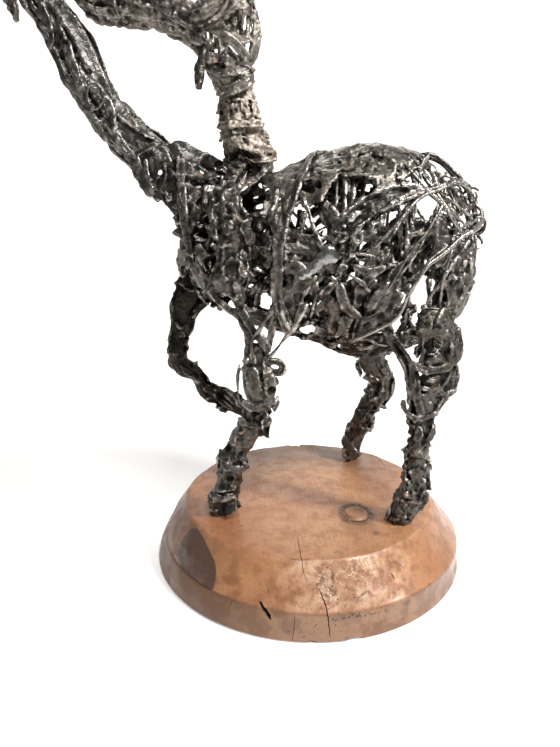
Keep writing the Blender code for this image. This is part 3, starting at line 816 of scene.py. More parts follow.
@dataclass
class Barrel:
    """The horse's open body: its form, and ways to lay iron on it."""

    # Sections at the middle of the ribs: x, top, bottom, half width.
    sections: tuple[Row, ...] = (
        (-0.128, 0.342, 0.300, 0.018),
        (-0.112, 0.350, 0.266, 0.036),
        (-0.085, 0.342, 0.244, 0.049),
        (-0.045, 0.329, 0.222, 0.056),
        (0.000, 0.343, 0.205, 0.058),
        (0.045, 0.354, 0.192, 0.059),
        (0.085, 0.347, 0.200, 0.056),
        (0.112, 0.330, 0.212, 0.046),
        (0.130, 0.304, 0.232, 0.028),
    )
    squareness: float = 2.4
    # The stretch along the body that scrap may lie on, in millimetres.
    packed: Spot = (-124, 134)

    def section(self, x: float) -> tuple[float, float, float]:
        """Top, bottom and half width of the body at x."""
        last = len(self.sections) - 1
        low = 0
        while low < last - 1 and self.sections[low + 1][0] < x:
            low += 1
        share = (x - self.sections[low][0]) / (self.sections[low + 1][0] - self.sections[low][0])
        return flowing(self.sections, low + min(max(share, 0.0), 1.0))[1:]

    def at(self, x: float, angle: float) -> Vector:
        """A place on the middle of the ribs; angle runs from the back down the left side."""
        top, bottom, half_width = self.section(x)
        across, up = sin(angle), cos(angle)
        size = (abs(across) ** self.squareness + abs(up) ** self.squareness) ** (-1 / self.squareness)
        z = (top + bottom + up * size * (top - bottom)) / 2
        return Vector((x, LEFT * across * size * half_width, z))

    def skin(self, x: float, angle: float, lift: float) -> tuple[Vector, Vector]:
        """A place that stands off the body by lift, and the outward direction there."""
        step = 0.002
        along = self.at(x + step, angle) - self.at(x - step, angle)
        around = self.at(x, angle + step) - self.at(x, angle - step)
        outward = around.cross(along).normalized()
        return self.at(x, angle) + outward * lift, outward

    def angle_at(self, x: float, z: float) -> float:
        """The angle on the left side at which the body, at x, is at the height z."""
        top, bottom, _ = self.section(x)
        up = min(max((2 * z - top - bottom) / (top - bottom), -0.999), 0.999)
        across = (1 - abs(up) ** self.squareness) ** (1 / self.squareness)
        return atan2(across, up)

    def along(self, side: int, spots: Sequence[Spot], lift: float, steps: int) -> Route:
        """Places and outward directions along a smooth line of (x, z) spots on one flank."""
        line = map(metres, spaced(spots, steps))
        return [self.skin(x, -side * self.angle_at(x, z), lift * MM) for x, z in line]

    def lay(self, weld: Weldment, side: int, member: Member) -> None:
        """Adds a member to a weldment, on one flank."""
        route = self.along(side, member.spots, member.lift, max(4, member.steps(3.5)))
        size = metres((member.half_width, member.half_thickness))
        weld.add(bar(route, *size, member.stock, member.taper, member.roll, member.swell))

    def pack(self, weld: Weldment, side: int, scrap: Scrap, dice: Random) -> None:
        """Fills a stretch of flank with short straps and crushed lumps, and keeps the openings clear."""
        for _ in range(scrap.count):
            for _ in range(14):
                x = scrap.x + scrap.reach_x * dice.uniform(-1, 1)
                z = scrap.z + scrap.reach_z * dice.uniform(-1, 1)
                run = radians(scrap.run + dice.uniform(-scrap.spread, scrap.spread))
                bend = dice.uniform(-0.7, 0.7)
                spans = (scrap.length, scrap.width, scrap.lift)
                reach, width, lift = (dice.uniform(*span) for span in spans)
                spots = [
                    (x + reach * part * cos(run + bend * part), z + reach * part * sin(run + bend * part))
                    for part in (-0.5, -0.2, 0.15, 0.5)
                ]
                top, bottom, _ = self.section(x * MM)
                front, rear = self.packed
                if not all(front < x < rear and bottom / MM - 4 < z < top / MM + 1 for x, z in spots):
                    continue
                route = self.along(side, spots, lift, max(4, round(reach / 4)))
                reach, half_width = metres((reach, width))
                if all(BARREL_OPENINGS.clear(place, 0.7 * half_width) for place, _ in route):
                    break
            else:
                continue
            tilt = dice.gauss(0, 0.5)
            if dice.random() < scrap.plates:
                place, outward = route[len(route) // 2]
                along = (route[-1][0] - route[0][0]).normalized()
                outward = Matrix.Rotation(dice.gauss(0, 0.35), 3, along) @ outward
                weld.add(crushed_plate(place, outward, along, (0.38 * reach, 1.25 * half_width), dice))
                continue
            if dice.random() < scrap.rods:
                weld.add(bar(route, *[dice.uniform(0.0009, 0.0014)] * 2, ROD))
                continue
            stock = CREASED if dice.random() < 0.6 else STRAP
            twist = (tilt, tilt + dice.gauss(0, 0.5))
            weld.add(bar(route, half_width, dice.uniform(0.0008, 0.0013), stock, (0.5, 0.5), twist))
            if dice.random() < 0.4:
                place = route[dice.randrange(len(route))][0]
                size = tuple(dice.uniform(0.0016, 0.0042) for _ in range(3))
                weld.add(crag(place, size, dice))

    def hoop(self, weld: Weldment, x_top: float, x_bottom: float, angles: Spot, half_width: float) -> None:
        """Lays part of a rib, between two angles in degrees from the back, down the left side."""
        route = []
        steps = max(6, round(abs(angles[1] - angles[0]) / 8))
        for step in range(steps + 1):
            angle = radians(angles[0] + (angles[1] - angles[0]) * step / steps)
            low = (1 - cos(angle)) / 2
            route.append(self.skin(x_top + (x_bottom - x_top) * low, angle, 0.0))
        weld.add(bar(route, half_width, 0.0014, STRAP, (0.9, 0.9)))


# ---------------------------------------------------------------- limbs


@dataclass
class Limb:
    """A limb's form: rows of x, y, z, half across the body and half along it, from one end to the other."""

    rows: Sequence[Row]
    squareness: float = 2.2

    def __post_init__(self) -> None:
        """Turns the rows to metres."""
        self.rows = [metres(row) for row in self.rows]

    def section(self, share: float) -> tuple[Vector, Vector, Vector, float, float]:
        """The place, the across and outward directions and the half sizes at a share of the run."""
        last = len(self.rows) - 1
        at = min(max(share, 0.0), 1.0) * last
        row = flowing(self.rows, at)
        before = Vector(flowing(self.rows, max(at - 0.3, 0.0))[:3])
        after = Vector(flowing(self.rows, min(at + 0.3, last))[:3])
        ahead = (after - before).normalized()
        across = (ACROSS - ahead * ACROSS.dot(ahead)).normalized()
        return Vector(row[:3]), across, across.cross(ahead).normalized(), row[3], row[4]

    def skin(self, share: float, angle: float, lift: float = 0.0) -> tuple[Vector, Vector]:
        """A place on the limb's skin at an angle round it, and the outward direction there."""
        place, across, outward, half_across, half_along = self.section(share)
        wide, deep = cos(angle), sin(angle)
        power = self.squareness
        scale = (abs(wide) ** power + abs(deep) ** power) ** (-1 / power)
        reach = across * (wide * half_across * scale) + outward * (deep * half_along * scale)
        away = (across * (wide / half_across) + outward * (deep / half_along)).normalized()
        return place + reach + away * lift, away

    def length(self) -> float:
        """The limb's length along its middle."""
        return length_of(self.rows)

    def core(self, size: float, steps: int, start: float = 0.0, end: float = 1.0) -> bmesh.types.BMesh:
        """The solid heart of part of the limb, at a share of its size."""
        stations = []
        for step in range(steps + 1):
            *frame_here, wide, deep = self.section(start + (end - start) * step / steps)
            stations.append(Station(*frame_here, wide * size, deep * size))
        return sweep(stations, Stock.ROD.value)


def over(x: float, y: float, *rest: float) -> Row:
    """A row on the other side of the figure."""
    return x, -y, *rest


@dataclass(frozen=True)
class Strand:
    """A strap or rod through places in space, with the direction that its flat side faces."""

    points: tuple[Point, ...]
    half_width: float
    half_thickness: float = 1.2
    outward: Point = (0, -1, 0)
    taper: Spot = (0.5, 0.5)
    stock: Stock = CREASED
    swell: float = 0.0

    def made(self) -> bmesh.types.BMesh:
        """Sweeps the strand."""
        facing = Vector(self.outward).normalized()
        points = spaced(self.points, max(5, round(length_of(self.points) / 3)))
        route = [(Vector(metres(point)), facing) for point in points]
        size = metres((self.half_width, self.half_thickness))
        return bar(route, *size, self.stock, self.taper, swell=self.swell)

    def mirrored(self) -> "Strand":
        """The same strand on the other side of the figure."""
        points = tuple(over(*point) for point in self.points)
        return replace(self, points=points, outward=over(*self.outward))


@dataclass
class WeldedLimb:
    """A limb built up from a heart, strands that run along it and crushed lumps."""

    name: str
    rows: Sequence[Row]
    finish: IronFinish
    seed: int = 1
    heart: float = 0.72
    # The stretches of the limb that have a heart; the rest is hollow.
    hearts: tuple[Spot, ...] = ((0.0, 1.0),)
    # The nodes it stands for, if not the one of its own name.
    nodes: tuple[str, ...] = ()
    strands: int = 20
    strand_width: Spot = (1.8, 3.6)
    strand_reach: Spot = (0.2, 0.5)
    strand_lift: Spot = (-2.2, 0.3)
    twist: float = 0.8
    crags: int = 10
    crag_size: Spot = (3.0, 6.0)
    plates: int = 0
    plate_size: Spot = (4.0, 9.0)
    # The stretch of the limb that has a thin shell under its strands, and how deep it lies.
    shell: Spot | None = None
    shell_lift: float = -4.0
    extras: tuple[Strand, ...] = ()
    dents: tuple[Dent, ...] = ()
    voxel: float = 0.0009
    beating: Beating = Beating()
    slot: str = "iron"
    # Whether it lies on the left, with its rows, extras and dents given for the right.
    turned: bool = False

    def __post_init__(self) -> None:
        """Builds the form, turned over if need be."""
        if self.turned:
            self.rows = [over(*row) for row in self.rows]
            self.extras = [strand.mirrored() for strand in self.extras]
            self.dents = [replace(dent, place=over(*dent.place)) for dent in self.dents]
        self.limb = Limb(self.rows)

    def clear(self, place: Vector) -> bool:
        """Says whether iron may lie at a place."""
        return BARREL_OPENINGS.clear(place, 0.0005)

    def lay_strands(self, weld: Weldment, dice: Random) -> None:
        """Lays strands along the limb, each turning round it a little."""
        for number in range(self.strands):
            for _ in range(6):
                reach = dice.uniform(*self.strand_reach)
                start = dice.uniform(-0.04, 1.0 - reach * 0.7)
                end = min(start + reach, 1.0)
                start = max(start, 0.0)
                angle = 2 * pi * (number + dice.random()) / self.strands * 3
                turn = dice.gauss(0.25, 1) * self.twist * (end - start)
                lift = dice.uniform(*self.strand_lift) * MM
                steps = max(5, round((end - start) * self.limb.length() / 0.004))
                sway = dice.uniform(0.05, 0.22)
                phase = dice.uniform(0, 2 * pi)
                route = []
                for step in range(steps + 1):
                    part = step / steps
                    bump = 0.0008 * sin(5 * part * pi + phase) - 0.002 * abs(2 * part - 1) ** 3
                    at = angle + turn * part + sway * sin(7 * part + phase)
                    route.append(self.limb.skin(start + (end - start) * part, at, lift + bump))
                if all(self.clear(place) for place, _ in route):
                    break
            else:
                continue
            stock = CREASED if dice.random() < 0.5 else STRAP
            roll = dice.gauss(0, 0.35)
            half_width = dice.uniform(*self.strand_width) * MM
            twist = (roll, roll + dice.gauss(0, 0.4))
            weld.add(bar(route, half_width, dice.uniform(0.0009, 0.0015), stock, (0.45, 0.45), twist))

    def lay_crags(self, weld: Weldment, dice: Random) -> None:
        """Sets crushed lumps into the limb's skin."""
        for number in range(self.crags):
            share = (number + dice.random()) / self.crags
            angle = dice.uniform(0, 2 * pi)
            size = [dice.uniform(*self.crag_size) * MM for _ in range(3)]
            size[dice.randrange(3)] *= 0.55
            place = self.limb.skin(share, angle, -0.55 * min(size))[0]
            if self.clear(place):
                weld.add(crag(place, tuple(size), dice))

    def lay_plates(self, weld: Weldment, dice: Random) -> None:
        """Wraps crushed plates round the limb."""
        for number in range(self.plates):
            share = (number + dice.random()) / self.plates
            place, outward = self.limb.skin(share, dice.uniform(0, 2 * pi), dice.uniform(-0.0022, -0.0004))
            along = self.limb.section(min(share + 0.02, 1.0))[0] - self.limb.section(share - 0.02)[0]
            along = Matrix.Rotation(dice.gauss(0, 0.5), 3, outward) @ along
            reach = dice.uniform(*self.plate_size) * MM
            if self.clear(place):
                weld.add(crushed_plate(place, outward, along, (reach, reach * dice.uniform(0.5, 0.9)), dice))

    def lay_shell(self, weld: Weldment) -> None:
        """Lays a thin shell under the strands, open only where light comes through."""
        start, end = self.shell
        cells = (max(12, round(self.limb.length() * (end - start) / 0.0022)), 60)
        place_of = lambda u, v: self.limb.skin(start + (end - start) * u, 2 * pi * v, self.shell_lift * MM)
        weld.add(beaten_sheet(place_of, cells, LINING_THICKNESS, self.clear, 0.0008, self.seed))

    def build(self) -> bpy.types.Object:
        """Makes the limb.

        Returns:
            The finished piece.
        """
        dice = Random(self.seed)
        weld = Weldment(
            self.name, self.finish, self.seed, self.voxel, self.beating, replaces=self.nodes or (self.name,),
            slot=self.slot, dents=self.dents,
        )
        for start, end in self.hearts:
            steps = max(4, round(self.limb.length() * (end - start) / 0.005))
            weld.add(self.limb.core(self.heart, steps, start, end))
        if self.shell:
            self.lay_shell(weld)
        self.lay_strands(weld, dice)
        self.lay_plates(weld, dice)
        self.lay_crags(weld, dice)
        for strand in self.extras:
            weld.add(strand.made())
        return weld.finished()


# ---------------------------------------------------------------- the iron's finishes

BLACKENED = IronFinish(
    "Blackened iron", hollow=(0.006, 0.005, 0.004), body=(0.100, 0.089, 0.078), rust_share=0.38,
    roughness=0.36,
)
BEATEN = IronFinish(
    "Beaten grey iron", body=(0.150, 0.133, 0.114), rust_share=0.34, roughness=0.37, grit=0.45,
)
DRAWN = IronFinish(
    "Drawn rod", body=(0.125, 0.112, 0.098), rust_share=0.28, roughness=0.32, wear=0.5, grit=0.5,
)
NECK_IRON = IronFinish(
    "Smooth grey iron", body=(0.135, 0.125, 0.114), worn=(0.56, 0.54, 0.51), rust_share=0.26,
    roughness=0.34,
)
WORN = IronFinish(
    "Worn brown iron", hollow=(0.014, 0.011, 0.009), body=(0.205, 0.182, 0.158), worn=(0.66, 0.61, 0.55),
    rust=(0.30, 0.165, 0.085), rust_share=0.36, roughness=0.40,
)
LEAF = IronFinish("Crumpled leaf", body=(0.150, 0.140, 0.128), rust_share=0.22, wear=0.9, roughness=0.33)
# Nearly black as painted shade inside the barrel; the rust is the iron's own.
SHADED_INSIDE = IronFinish(
    "Inside scrap in painted shade", body=(0.020, 0.016, 0.012), rust=(0.085, 0.052, 0.030), rust_share=0.45, wear=0.25,
)
# A darker copy of the iron as painted shade, for the far foreleg, the belly's underside and the breast.
SHADED_SCRAP = IronFinish(
    "Scrap in painted shade", hollow=(0.004, 0.0035, 0.003), body=(0.036, 0.031, 0.026), rust=(0.11, 0.072, 0.045),
    roughness=0.48,
)
CRUSTED = IronFinish(
    "Spatter-crusted iron", hollow=(0.018, 0.014, 0.011), body=(0.40, 0.345, 0.295),
    worn=(0.52, 0.47, 0.41), rust=(0.27, 0.17, 0.105), rust_share=0.35, roughness=0.58, grit=1.0,
)
BRIGHT = IronFinish(
    "Bright weld metal", hollow=(0.08, 0.08, 0.08), body=(0.26, 0.26, 0.255), worn=(0.80, 0.80, 0.78),
    rust_share=0.0, roughness=0.24, grit=0.15,
)


# ---------------------------------------------------------------- the barrel's weldments


@dataclass
class Flank:
    """One side of the barrel: short ribs, packed scrap, and the straps and leaves on them."""

    barrel: Barrel
    side: int
    finish: IronFinish
    scraps: tuple[Scrap, ...]
    members: tuple[Member, ...]
    ribs: tuple[tuple[float, float, Spot], ...]
    nodes: tuple[str, ...]
    seed: int = 31
    name: str = "flank"
    backed: bool = True
    # Dents darkened as painted shade: x, z, reach and depth.
    shaded_dents: tuple[Row, ...] = ()
    voxel: float = 0.0010
    rib_width: float = 0.0022
    beating: Beating = Beating()
    # The sheet that backs the shoulder: where it starts, its length, how deep it lies and its angles.
    lining: tuple[float, float, float, Spot] = (-0.104, 0.080, -0.0065, (12, 168))

    def build(self) -> bpy.types.Object:
        """Makes the flank.

        Returns:
            The finished piece.
        """
        dents = []
        for x, z, *size in self.shaded_dents:
            place = self.barrel.skin(x * MM, -self.side * self.barrel.angle_at(x * MM, z * MM), 0.002)[0]
            dents.append(Dent([value / MM for value in place], *size))
        name = f"{SIDES[self.side]}_{self.name}"
        weld = Weldment(name, self.finish, self.seed, self.voxel, self.beating)
        weld.replaces, weld.dents = self.nodes, dents
        dice = Random(self.seed)
        bare = UNDER_SEAT if self.side == LEFT else None
        start, length, depth, angles = self.lining
        low, high = sorted(-self.side * radians(angle) for angle in angles)
        place_of = lambda u, v: self.barrel.skin(start + length * u, low + (high - low) * v, depth)
        holed = lambda place: bare and bare.holds(place.x, place.z, 0.0)
        keep = lambda place: BARREL_OPENINGS.clear(place, 0.0006) and not holed(place)
        if self.backed:
            weld.add(beaten_sheet(place_of, (46, 70), LINING_THICKNESS, keep, 0.002, 5))
        weld.bare = bare
        for scrap in self.scraps:
            self.barrel.pack(weld, self.side, scrap, dice)
        for member in self.members:
            self.barrel.lay(weld, self.side, member)
        for x_top, x_bottom, angles in self.ribs:
            down = tuple(-self.side * angle for angle in angles)
            self.barrel.hoop(weld, x_top, x_bottom, down, self.rib_width)
        return weld.finished()


LEFT_SCRAPS = (
    Scrap(-93, 288, 12, 42, 40, 70, 40, (-8, 2), (2.2, 5.4), plates=0.5),
    Scrap(-64, 285, 18, 40, 46, 62, 55, (-8, 3), (2.6, 6.2), plates=0.65, rods=0.12),
    Scrap(-32, 268, 16, 26, 54, 60, 60),
    Scrap(-10, 266, 20, 24, 46, 50, 60, (-7, 4), (2.2, 5.5)),
    Scrap(30, 262, 24, 22, 58, 58, 50),
    Scrap(45, 236, 34, 16, 50, 62, 45, (-6, 4), (2.4, 5.6), plates=0.55),
    Scrap(18, 215, 40, 10, 40, 14, 30),
    Scrap(75, 214, 30, 12, 36, 25, 45),
    Scrap(108, 250, 14, 28, 58, 95, 40),
    Scrap(40, 300, 34, 16, 36, 40, 60, (-12, -3)),
    Scrap(88, 285, 18, 18, 22, 60, 50, (-10, 0)),
    Scrap(118, 240, 12, 26, 54, 92, 35, (-7, 1), (2.2, 5.2), plates=0.5, rods=0.1),
    Scrap(104, 300, 24, 26, 34, 55, 60, (-6, 3), plates=0.0, rods=1.0),
    Scrap(60, 286, 40, 30, 20, 70, 60, (-6, 3), plates=0.0, rods=1.0),
    Scrap(0, 270, 40, 40, 20, 60, 60, (-4, 4), plates=0.0, rods=1.0),
)

LEFT_MEMBERS = (
    # The rib that bows forward from the back's corner, and the strap down the chest.
    Member((
        (8, 348), (-4, 335.4), (-12.4, 321.4), (-18.4, 309.6), (-23.4, 297.6), (-26.3, 283), (-27.6, 265.6),
        (-26.4, 250.3), (-22, 234.8), (-16.7, 221.7),
    ), 4, 1.7, 8.5, (0.9, 0.5), swell=0.2, roll=(0.5, -0.4)),
    Member((
        (-103, 348), (-98.5, 328.8), (-95.4, 311.9), (-93.6, 294.7), (-90.4, 277.1), (-84.5, 261.7),
        (-75.8, 246), (-65.5, 238.1), (-57.7, 230.1),
    ), 3.6, 1.7, 6.5, (0.8, 0.6), swell=0.1, roll=(-0.3, 0.4)),
    # Crushed chunks on the shoulder.
    Member(((-64, 309), (-62, 299), (-56, 292)), 6.6, 2.4, 8.5, (0.7, 0.7)),
    Member(((-72, 293), (-60, 289), (-48, 289)), 5, 2.2, 9, (0.6, 0.6)),
    Member(((-75, 318), (-69, 308), (-70, 298)), 4.4, 1.8, 7, (0.6, 0.6)),
    Member(((-62, 280), (-56, 270), (-58, 258)), 6, 2, 7, (0.7, 0.5)),
    Member(((-86, 285), (-80, 274), (-74, 262)), 4.6, 1.8, 6, (0.6, 0.5)),
    Member(((-23, 266.2), (-15, 269), (-9, 262), (-15, 250)), 5.6, 2, 5),
    Member(((-23, 254), (-18, 245), (-20, 235)), 5, 1.8, 5, (0.6, 0.4)),
    # The crushed plates low on the flank.
    Member(((18, 256), (24, 242), (37, 233)), 4, 1.8, 7.5, (0.6, 0.4)),
    Member(((43, 264), (35, 253), (33, 240)), 4.8, 1.8, 5.5),
    Member(((60, 259), (48, 249), (41, 237)), 3.8, 1.6, 7, (0.4, 0.5)),
    Member(((29, 270), (40, 265), (52, 270)), 3.6, 1.6, 6, (0.5, 0.4)),
    Member(((24, 264), (33, 260), (42, 251)), 1.8, 1.4, 8.5, (0.5, 0.4)),
    Member(((36, 232), (46, 233), (56, 241)), 3, 1.6, 6, (0.5, 0.4)),
    # Rods that fan over the haunch.
    rod(((92.2, 307.1), (78.3, 287.5), (66.6, 269.9), (58.1, 259.7)), 1, 9),
    rod(((114.9, 322.8), (102.2, 324.5), (84.8, 321.6), (62.6, 314.3)), 1.1, 7),
    rod(((71, 343), (84.7, 324), (103.4, 309.5), (115.5, 300.9)), 1, 6),
    rod(((77, 343.3), (92.9, 331.4), (112.3, 326)), 1, 5),
    rod(((85.3, 344.2), (87.3, 328.8), (98.3, 309.5), (110.8, 296.7)), 1.2, 4),
    rod(((53.8, 287.2), (67.9, 309.5), (84.6, 325.2), (99, 333.6)), 1.1, 4),
    rod(((118, 310), (100, 301), (82, 289), (70, 278)), 1, 2),
    rod(((98, 333), (105, 313), (106, 293), (101, 270)), 1.2, 0),
    rod(((119, 290), (108, 278), (95, 260), (86, 240)), 1, 4),
    Member(((68.9, 309.4), (73.5, 297), (71.8, 281.8)), 4.6, 1.4, -4),
    Member(((91.2, 302.1), (95.8, 292.2), (93, 277.1), (91.1, 266.8)), 4.4, 1.4, -3),
    Member(((104.5, 294.7), (107, 279.6), (104.5, 261.7), (102.9, 248.7)), 5, 1.4, -3),
    Member(((6, 314.4), (12, 306), (15, 296), (11, 286)), 4.6, 1.8, 3),
    # Small upright plates in the dark gap behind the forward rib.
    Member(((17, 333), (15, 322), (14, 308)), 1.6, 1, -3, stock=STRAP),
    Member(((25, 332), (24, 320), (23, 306)), 2, 1, -2, stock=STRAP),
    Member(((29, 328), (27, 318), (24, 309)), 1.4, 1, 1, stock=STRAP),
    Member(((4, 311), (9, 301), (13, 290), (11, 280)), 4.2, 1.8, 1),
    Member(((-9, 317), (-4, 303), (2, 288), (6, 281)), 1.5, 1, 5, stock=STRAP),
    # Upright bars in the middle.
    Member(((62, 313), (63, 290), (64, 270)), 2.1, 1.1, 1, stock=STRAP),
    Member(((66, 313), (68, 292), (69, 272)), 1.7, 1.1, 3, stock=STRAP),
    # Leaves on the haunch and in the middle.
    Member(((88, 309), (93, 297), (95, 285), (92, 267)), 4.2, 1.2, 3, (0.2, 0.3), swell=0.5),
    Member(((64, 271), (58, 259), (52, 246), (48, 232)), 4.8, 1.3, 4, (0.3, 0.2), swell=0.5),
    Member(((30, 262), (31, 248), (33, 232)), 3.4, 1.3, 3),
    Member(((12, 262), (18, 250), (22, 236), (21, 222)), 2.6, 1.2, 3),
    Member(((-13, 224), (-10, 240), (-5, 255), (1, 263)), 1.8, 1.2, 6, stock=STRAP),
    Member(((-22, 250), (-14, 256), (-6, 262)), 4, 1.8, 4),
    Member(((-26, 281), (-16, 283), (-5, 279)), 4, 1.5, 3),
    Member(((-16, 291), (-6, 289), (3, 287)), 3.4, 1.5, 2),
    # The forked strap under the rider's seat.
    Member((
        (-35.6, 330.8), (-47.8, 326.1), (-56.5, 321.9), (-64, 315.6), (-69.8, 308.4), (-67.6, 297.6),
    ), 3.4, 1.6, 8.5, (0.7, 0.5)),
    Member(((-60.9, 334.5), (-57.6, 327.5), (-56.9, 322)), 2.8, 1.4, 9),
    # The shoulder's straps.
    Member(((-60, 331), (-63, 321), (-71, 311), (-83, 301)), 3.2, 1.3, 5),
    Member(((-46, 305), (-34, 302), (-26, 290)), 4, 1.3, 4),
    Member(((-45, 283), (-34, 279), (-28, 272)), 3.4, 1.3, 4),
    Member(((-34, 300), (-30, 310), (-26, 320)), 2, 1.2, 6, stock=STRAP),
    Member(((-30, 285), (-35, 271), (-44, 262)), 3, 1.3, 4),
    Member(((-98, 338), (-88, 330), (-74, 332), (-62, 334)), 4.6, 1.4, 4),
)

# The crumpled leaf that sweeps from the middle of the flank up to the rump, in three folds.
LEAF_MEMBERS = (
    Member((
        (15, 289), (22.5, 303), (34, 312.5), (48, 318.5), (62, 321), (79, 320.5),
    ), 3, 1.3, 7.5, (0.4, 0.2), swell=0.4, roll=(0.5, 0.7)),
    Member((
        (19, 288), (27, 296), (37, 304.5), (50, 312.5), (66, 316.5),
    ), 4, 1.4, 8.5, (0.4, 0.2), swell=0.5, roll=(-0.5, -0.2)),
    Member((
        (24, 285), (34, 291), (44, 299), (52, 306),
    ), 2.8, 1.2, 7, (0.4, 0.3), swell=0.5, roll=(0.4, 0.1)),
    Member(((19, 292), (24, 300), (30, 306)), 3.4, 1.3, 7.5, (0.5, 0.4)),
    Member(((30, 298), (36, 294), (44, 292)), 3, 1.2, 6, (0.5, 0.3)),
    rod(((20, 296), (30, 305), (41, 311), (52, 315)), 1.1, 10.5, (0.5, 0.4)),
    rod(((26, 293), (36, 300.5), (47, 307.5), (58, 313)), 1, 10.8, (0.5, 0.4)),
    Member(((36, 309), (44, 308.5), (51, 313.5)), 2.2, 1.1, 9.8, (0.4, 0.4)),
    Member(((24, 298.5), (28, 296.5), (34, 302)), 2.2, 1.1, 9.8, (0.4, 0.4)),
    Member(((64, 318.5), (74, 320.5), (86, 319)), 2.6, 1.2, 8, (0.5, 0.2)),
)

RIGHT_SCRAPS = (
    Scrap(-92, 286, 14, 42, 40, 80, 30),
    Scrap(-60, 280, 20, 40, 34, 75, 50),
    Scrap(-20, 262, 24, 28, 34, 50, 60),
    Scrap(30, 255, 28, 26, 38, 55, 50),
    Scrap(50, 222, 44, 14, 36, 18, 40),
    Scrap(102, 256, 18, 32, 38, 95, 40),
    Scrap(30, 310, 44, 16, 24, 30, 50),
    Scrap(75, 290, 26, 20, 24, 50, 50),
)

RIGHT_MEMBERS = (
    Member(((4, 346), (-14, 328), (-24, 304), (-28, 280), (-32, 254)), 4.4, 1.6, 4),
    Member(((-103, 350), (-96, 330), (-92, 304), (-90, 280), (-92, 258)), 3.6, 1.6, 4),
    Member(((0, 300), (18, 312), (38, 318), (60, 316), (84, 306)), 4.2, 1.4, 5, (0.3, 0.2), swell=0.4),
    Member(((94, 306), (70, 288), (46, 264), (30, 236)), 3.4, 1.3, 5),
    Member(((110, 296), (100, 270), (98, 240)), 4, 1.3, 4),
    Member(((-20, 302), (-4, 276), (4, 254), (10, 228)), 3.4, 1.3, 4),
    Member(((30, 300), (34, 276), (44, 250)), 5, 1.4, 3, (0.3, 0.3), swell=0.5),
    Member(((-70, 318), (-66, 292), (-70, 262)), 4.4, 1.4, 4),
)


@dataclass
class BackSheet:
    """The beaten sheet over the horse's back, ragged below and torn through in places."""

    barrel: Barrel
    finish: IronFinish
    # How far down each flank the sheet hangs: x and height, left then right.
    hems: tuple[Sequence[Spot], ...] = (
        (
            (-30, 296), (-20, 290), (-10, 300), (-4, 312), (6, 313), (12, 328), (18, 337), (26, 341),
            (36, 336), (42, 321), (52, 317), (60, 325), (67, 335), (84, 346), (100, 352),
        ),
        (
            (-30, 300), (-12, 306), (10, 316), (30, 308), (55, 314), (75, 326), (100, 350),
        ),
    )
    slots: tuple[Opening, ...] = (
        Opening(50, 346, 9.5, 2.2, -22),
        Opening(60, 333, 2.6, 6, 10),
        Opening(36, 341, 4, 3, 30),
        Opening(2, 327, 2.6, 4, 20),
        Opening(-2, 318, 1.6, 1.2),
        Opening(-14, 318, 1.4, 3, 30),
        Opening(46, 331, 1.3, 1.1),
        Opening(-18, 309, 1.6, 5, 10),
        UNDER_SEAT,
        Opening(-64.5, 331, 6.2, 5, 20),
    )
    # Dents under the seat, darkened as painted shade where the seat's shadow falls.
    shaded_dents: tuple[Dent, ...] = (
        Dent((-64, -34, 333), 14, 5), Dent((-50, -30, 332), 11, 5),
        Dent((-68, -30, 337), 9, 4), Dent((-38, -34, 330), 6, 3),
    )

    def hem(self, side: int, x: float) -> float:
        """The height of the sheet's lower edge on one flank, at x."""
        table = self.hems[0 if side == LEFT else 1]
        return float(np.interp(x / MM, *zip(*table))) * MM

    def keeps(self, place: Vector) -> bool:
        """Says whether there is metal at a place on the sheet."""
        side = LEFT if place.y < 0 else RIGHT
        rag = swirl_at(place, 0.009, 5) * 0.0035 + swirl_at(place, 0.0035, 6) * 0.0016
        if place.z < self.hem(side, place.x) + rag:
            return False
        if swirl_at(place, 0.0065, 9) > 0.56 and abs(place.y) > 0.012:
            return False
        if side == LEFT and any(slot.holds(place.x + rag * 0.3, place.z, 0.0) for slot in self.slots):
            return False
        return BARREL_OPENINGS.clear(place, 0.0004)

    def build(self) -> bpy.types.Object:
        """Makes the sheet.

        Returns:
            The finished piece.
        """
        nodes = (
            "back_plate", "saddle_strap", "rib_4", "rib_5", "rib_6", "side_rod_left_3", "side_rod_right_3",
        )
        beating = Beating(((0.008, 0.0005),), ((0.011, 0.0005),), 0.0007)
        weld = Weldment("back_sheet", self.finish, 8, 0.0010, beating, replaces=nodes, dents=self.shaded_dents)
        spans = (((-0.030, 0.100), (-84, 84), (110, 150)), ((-0.072, -0.028), (-60, 60), (38, 90)))
        for (start, end), (low, high), cells in spans:
            x_at = lambda u: start + (end - start) * u
            form = lambda u, v: self.barrel.skin(x_at(u), radians(low + (high - low) * v), 0.0045)
            weld.add(beaten_sheet(form, cells, 0.0015, self.keeps, 0.0019, 3))
        spine = [(-0.024, 0.338), (-0.014, 0.342), (-0.002, 0.349), (0.010, 0.3520), (0.016, 0.3505)]
        run = enumerate(spaced(spine, 12))
        route = [(Vector((x, -0.012 + 0.0006 * step, z + 0.001)), UP) for step, (x, z) in run]
        weld.add(bar(route, 0.0021, 0.0019, ROD))
        dice = Random(6)
        scraps = (Scrap(20, 340, 50, 12, 26, 10, 40, (1, 5)), Scrap(60, 335, 30, 14, 16, -25, 40, (-2, 4)))
        for scrap in scraps:
            for side in (LEFT, RIGHT):
                self.barrel.pack(weld, side, scrap, dice)
        for x_top, x_bottom in ((0.024, 0.014), (0.050, 0.044), (0.074, 0.071)):
            for angles in ((-20, -150), (20, 70), (118, 160)):
                self.barrel.hoop(weld, x_top, x_bottom, angles, 0.0020)
        return weld.finished()


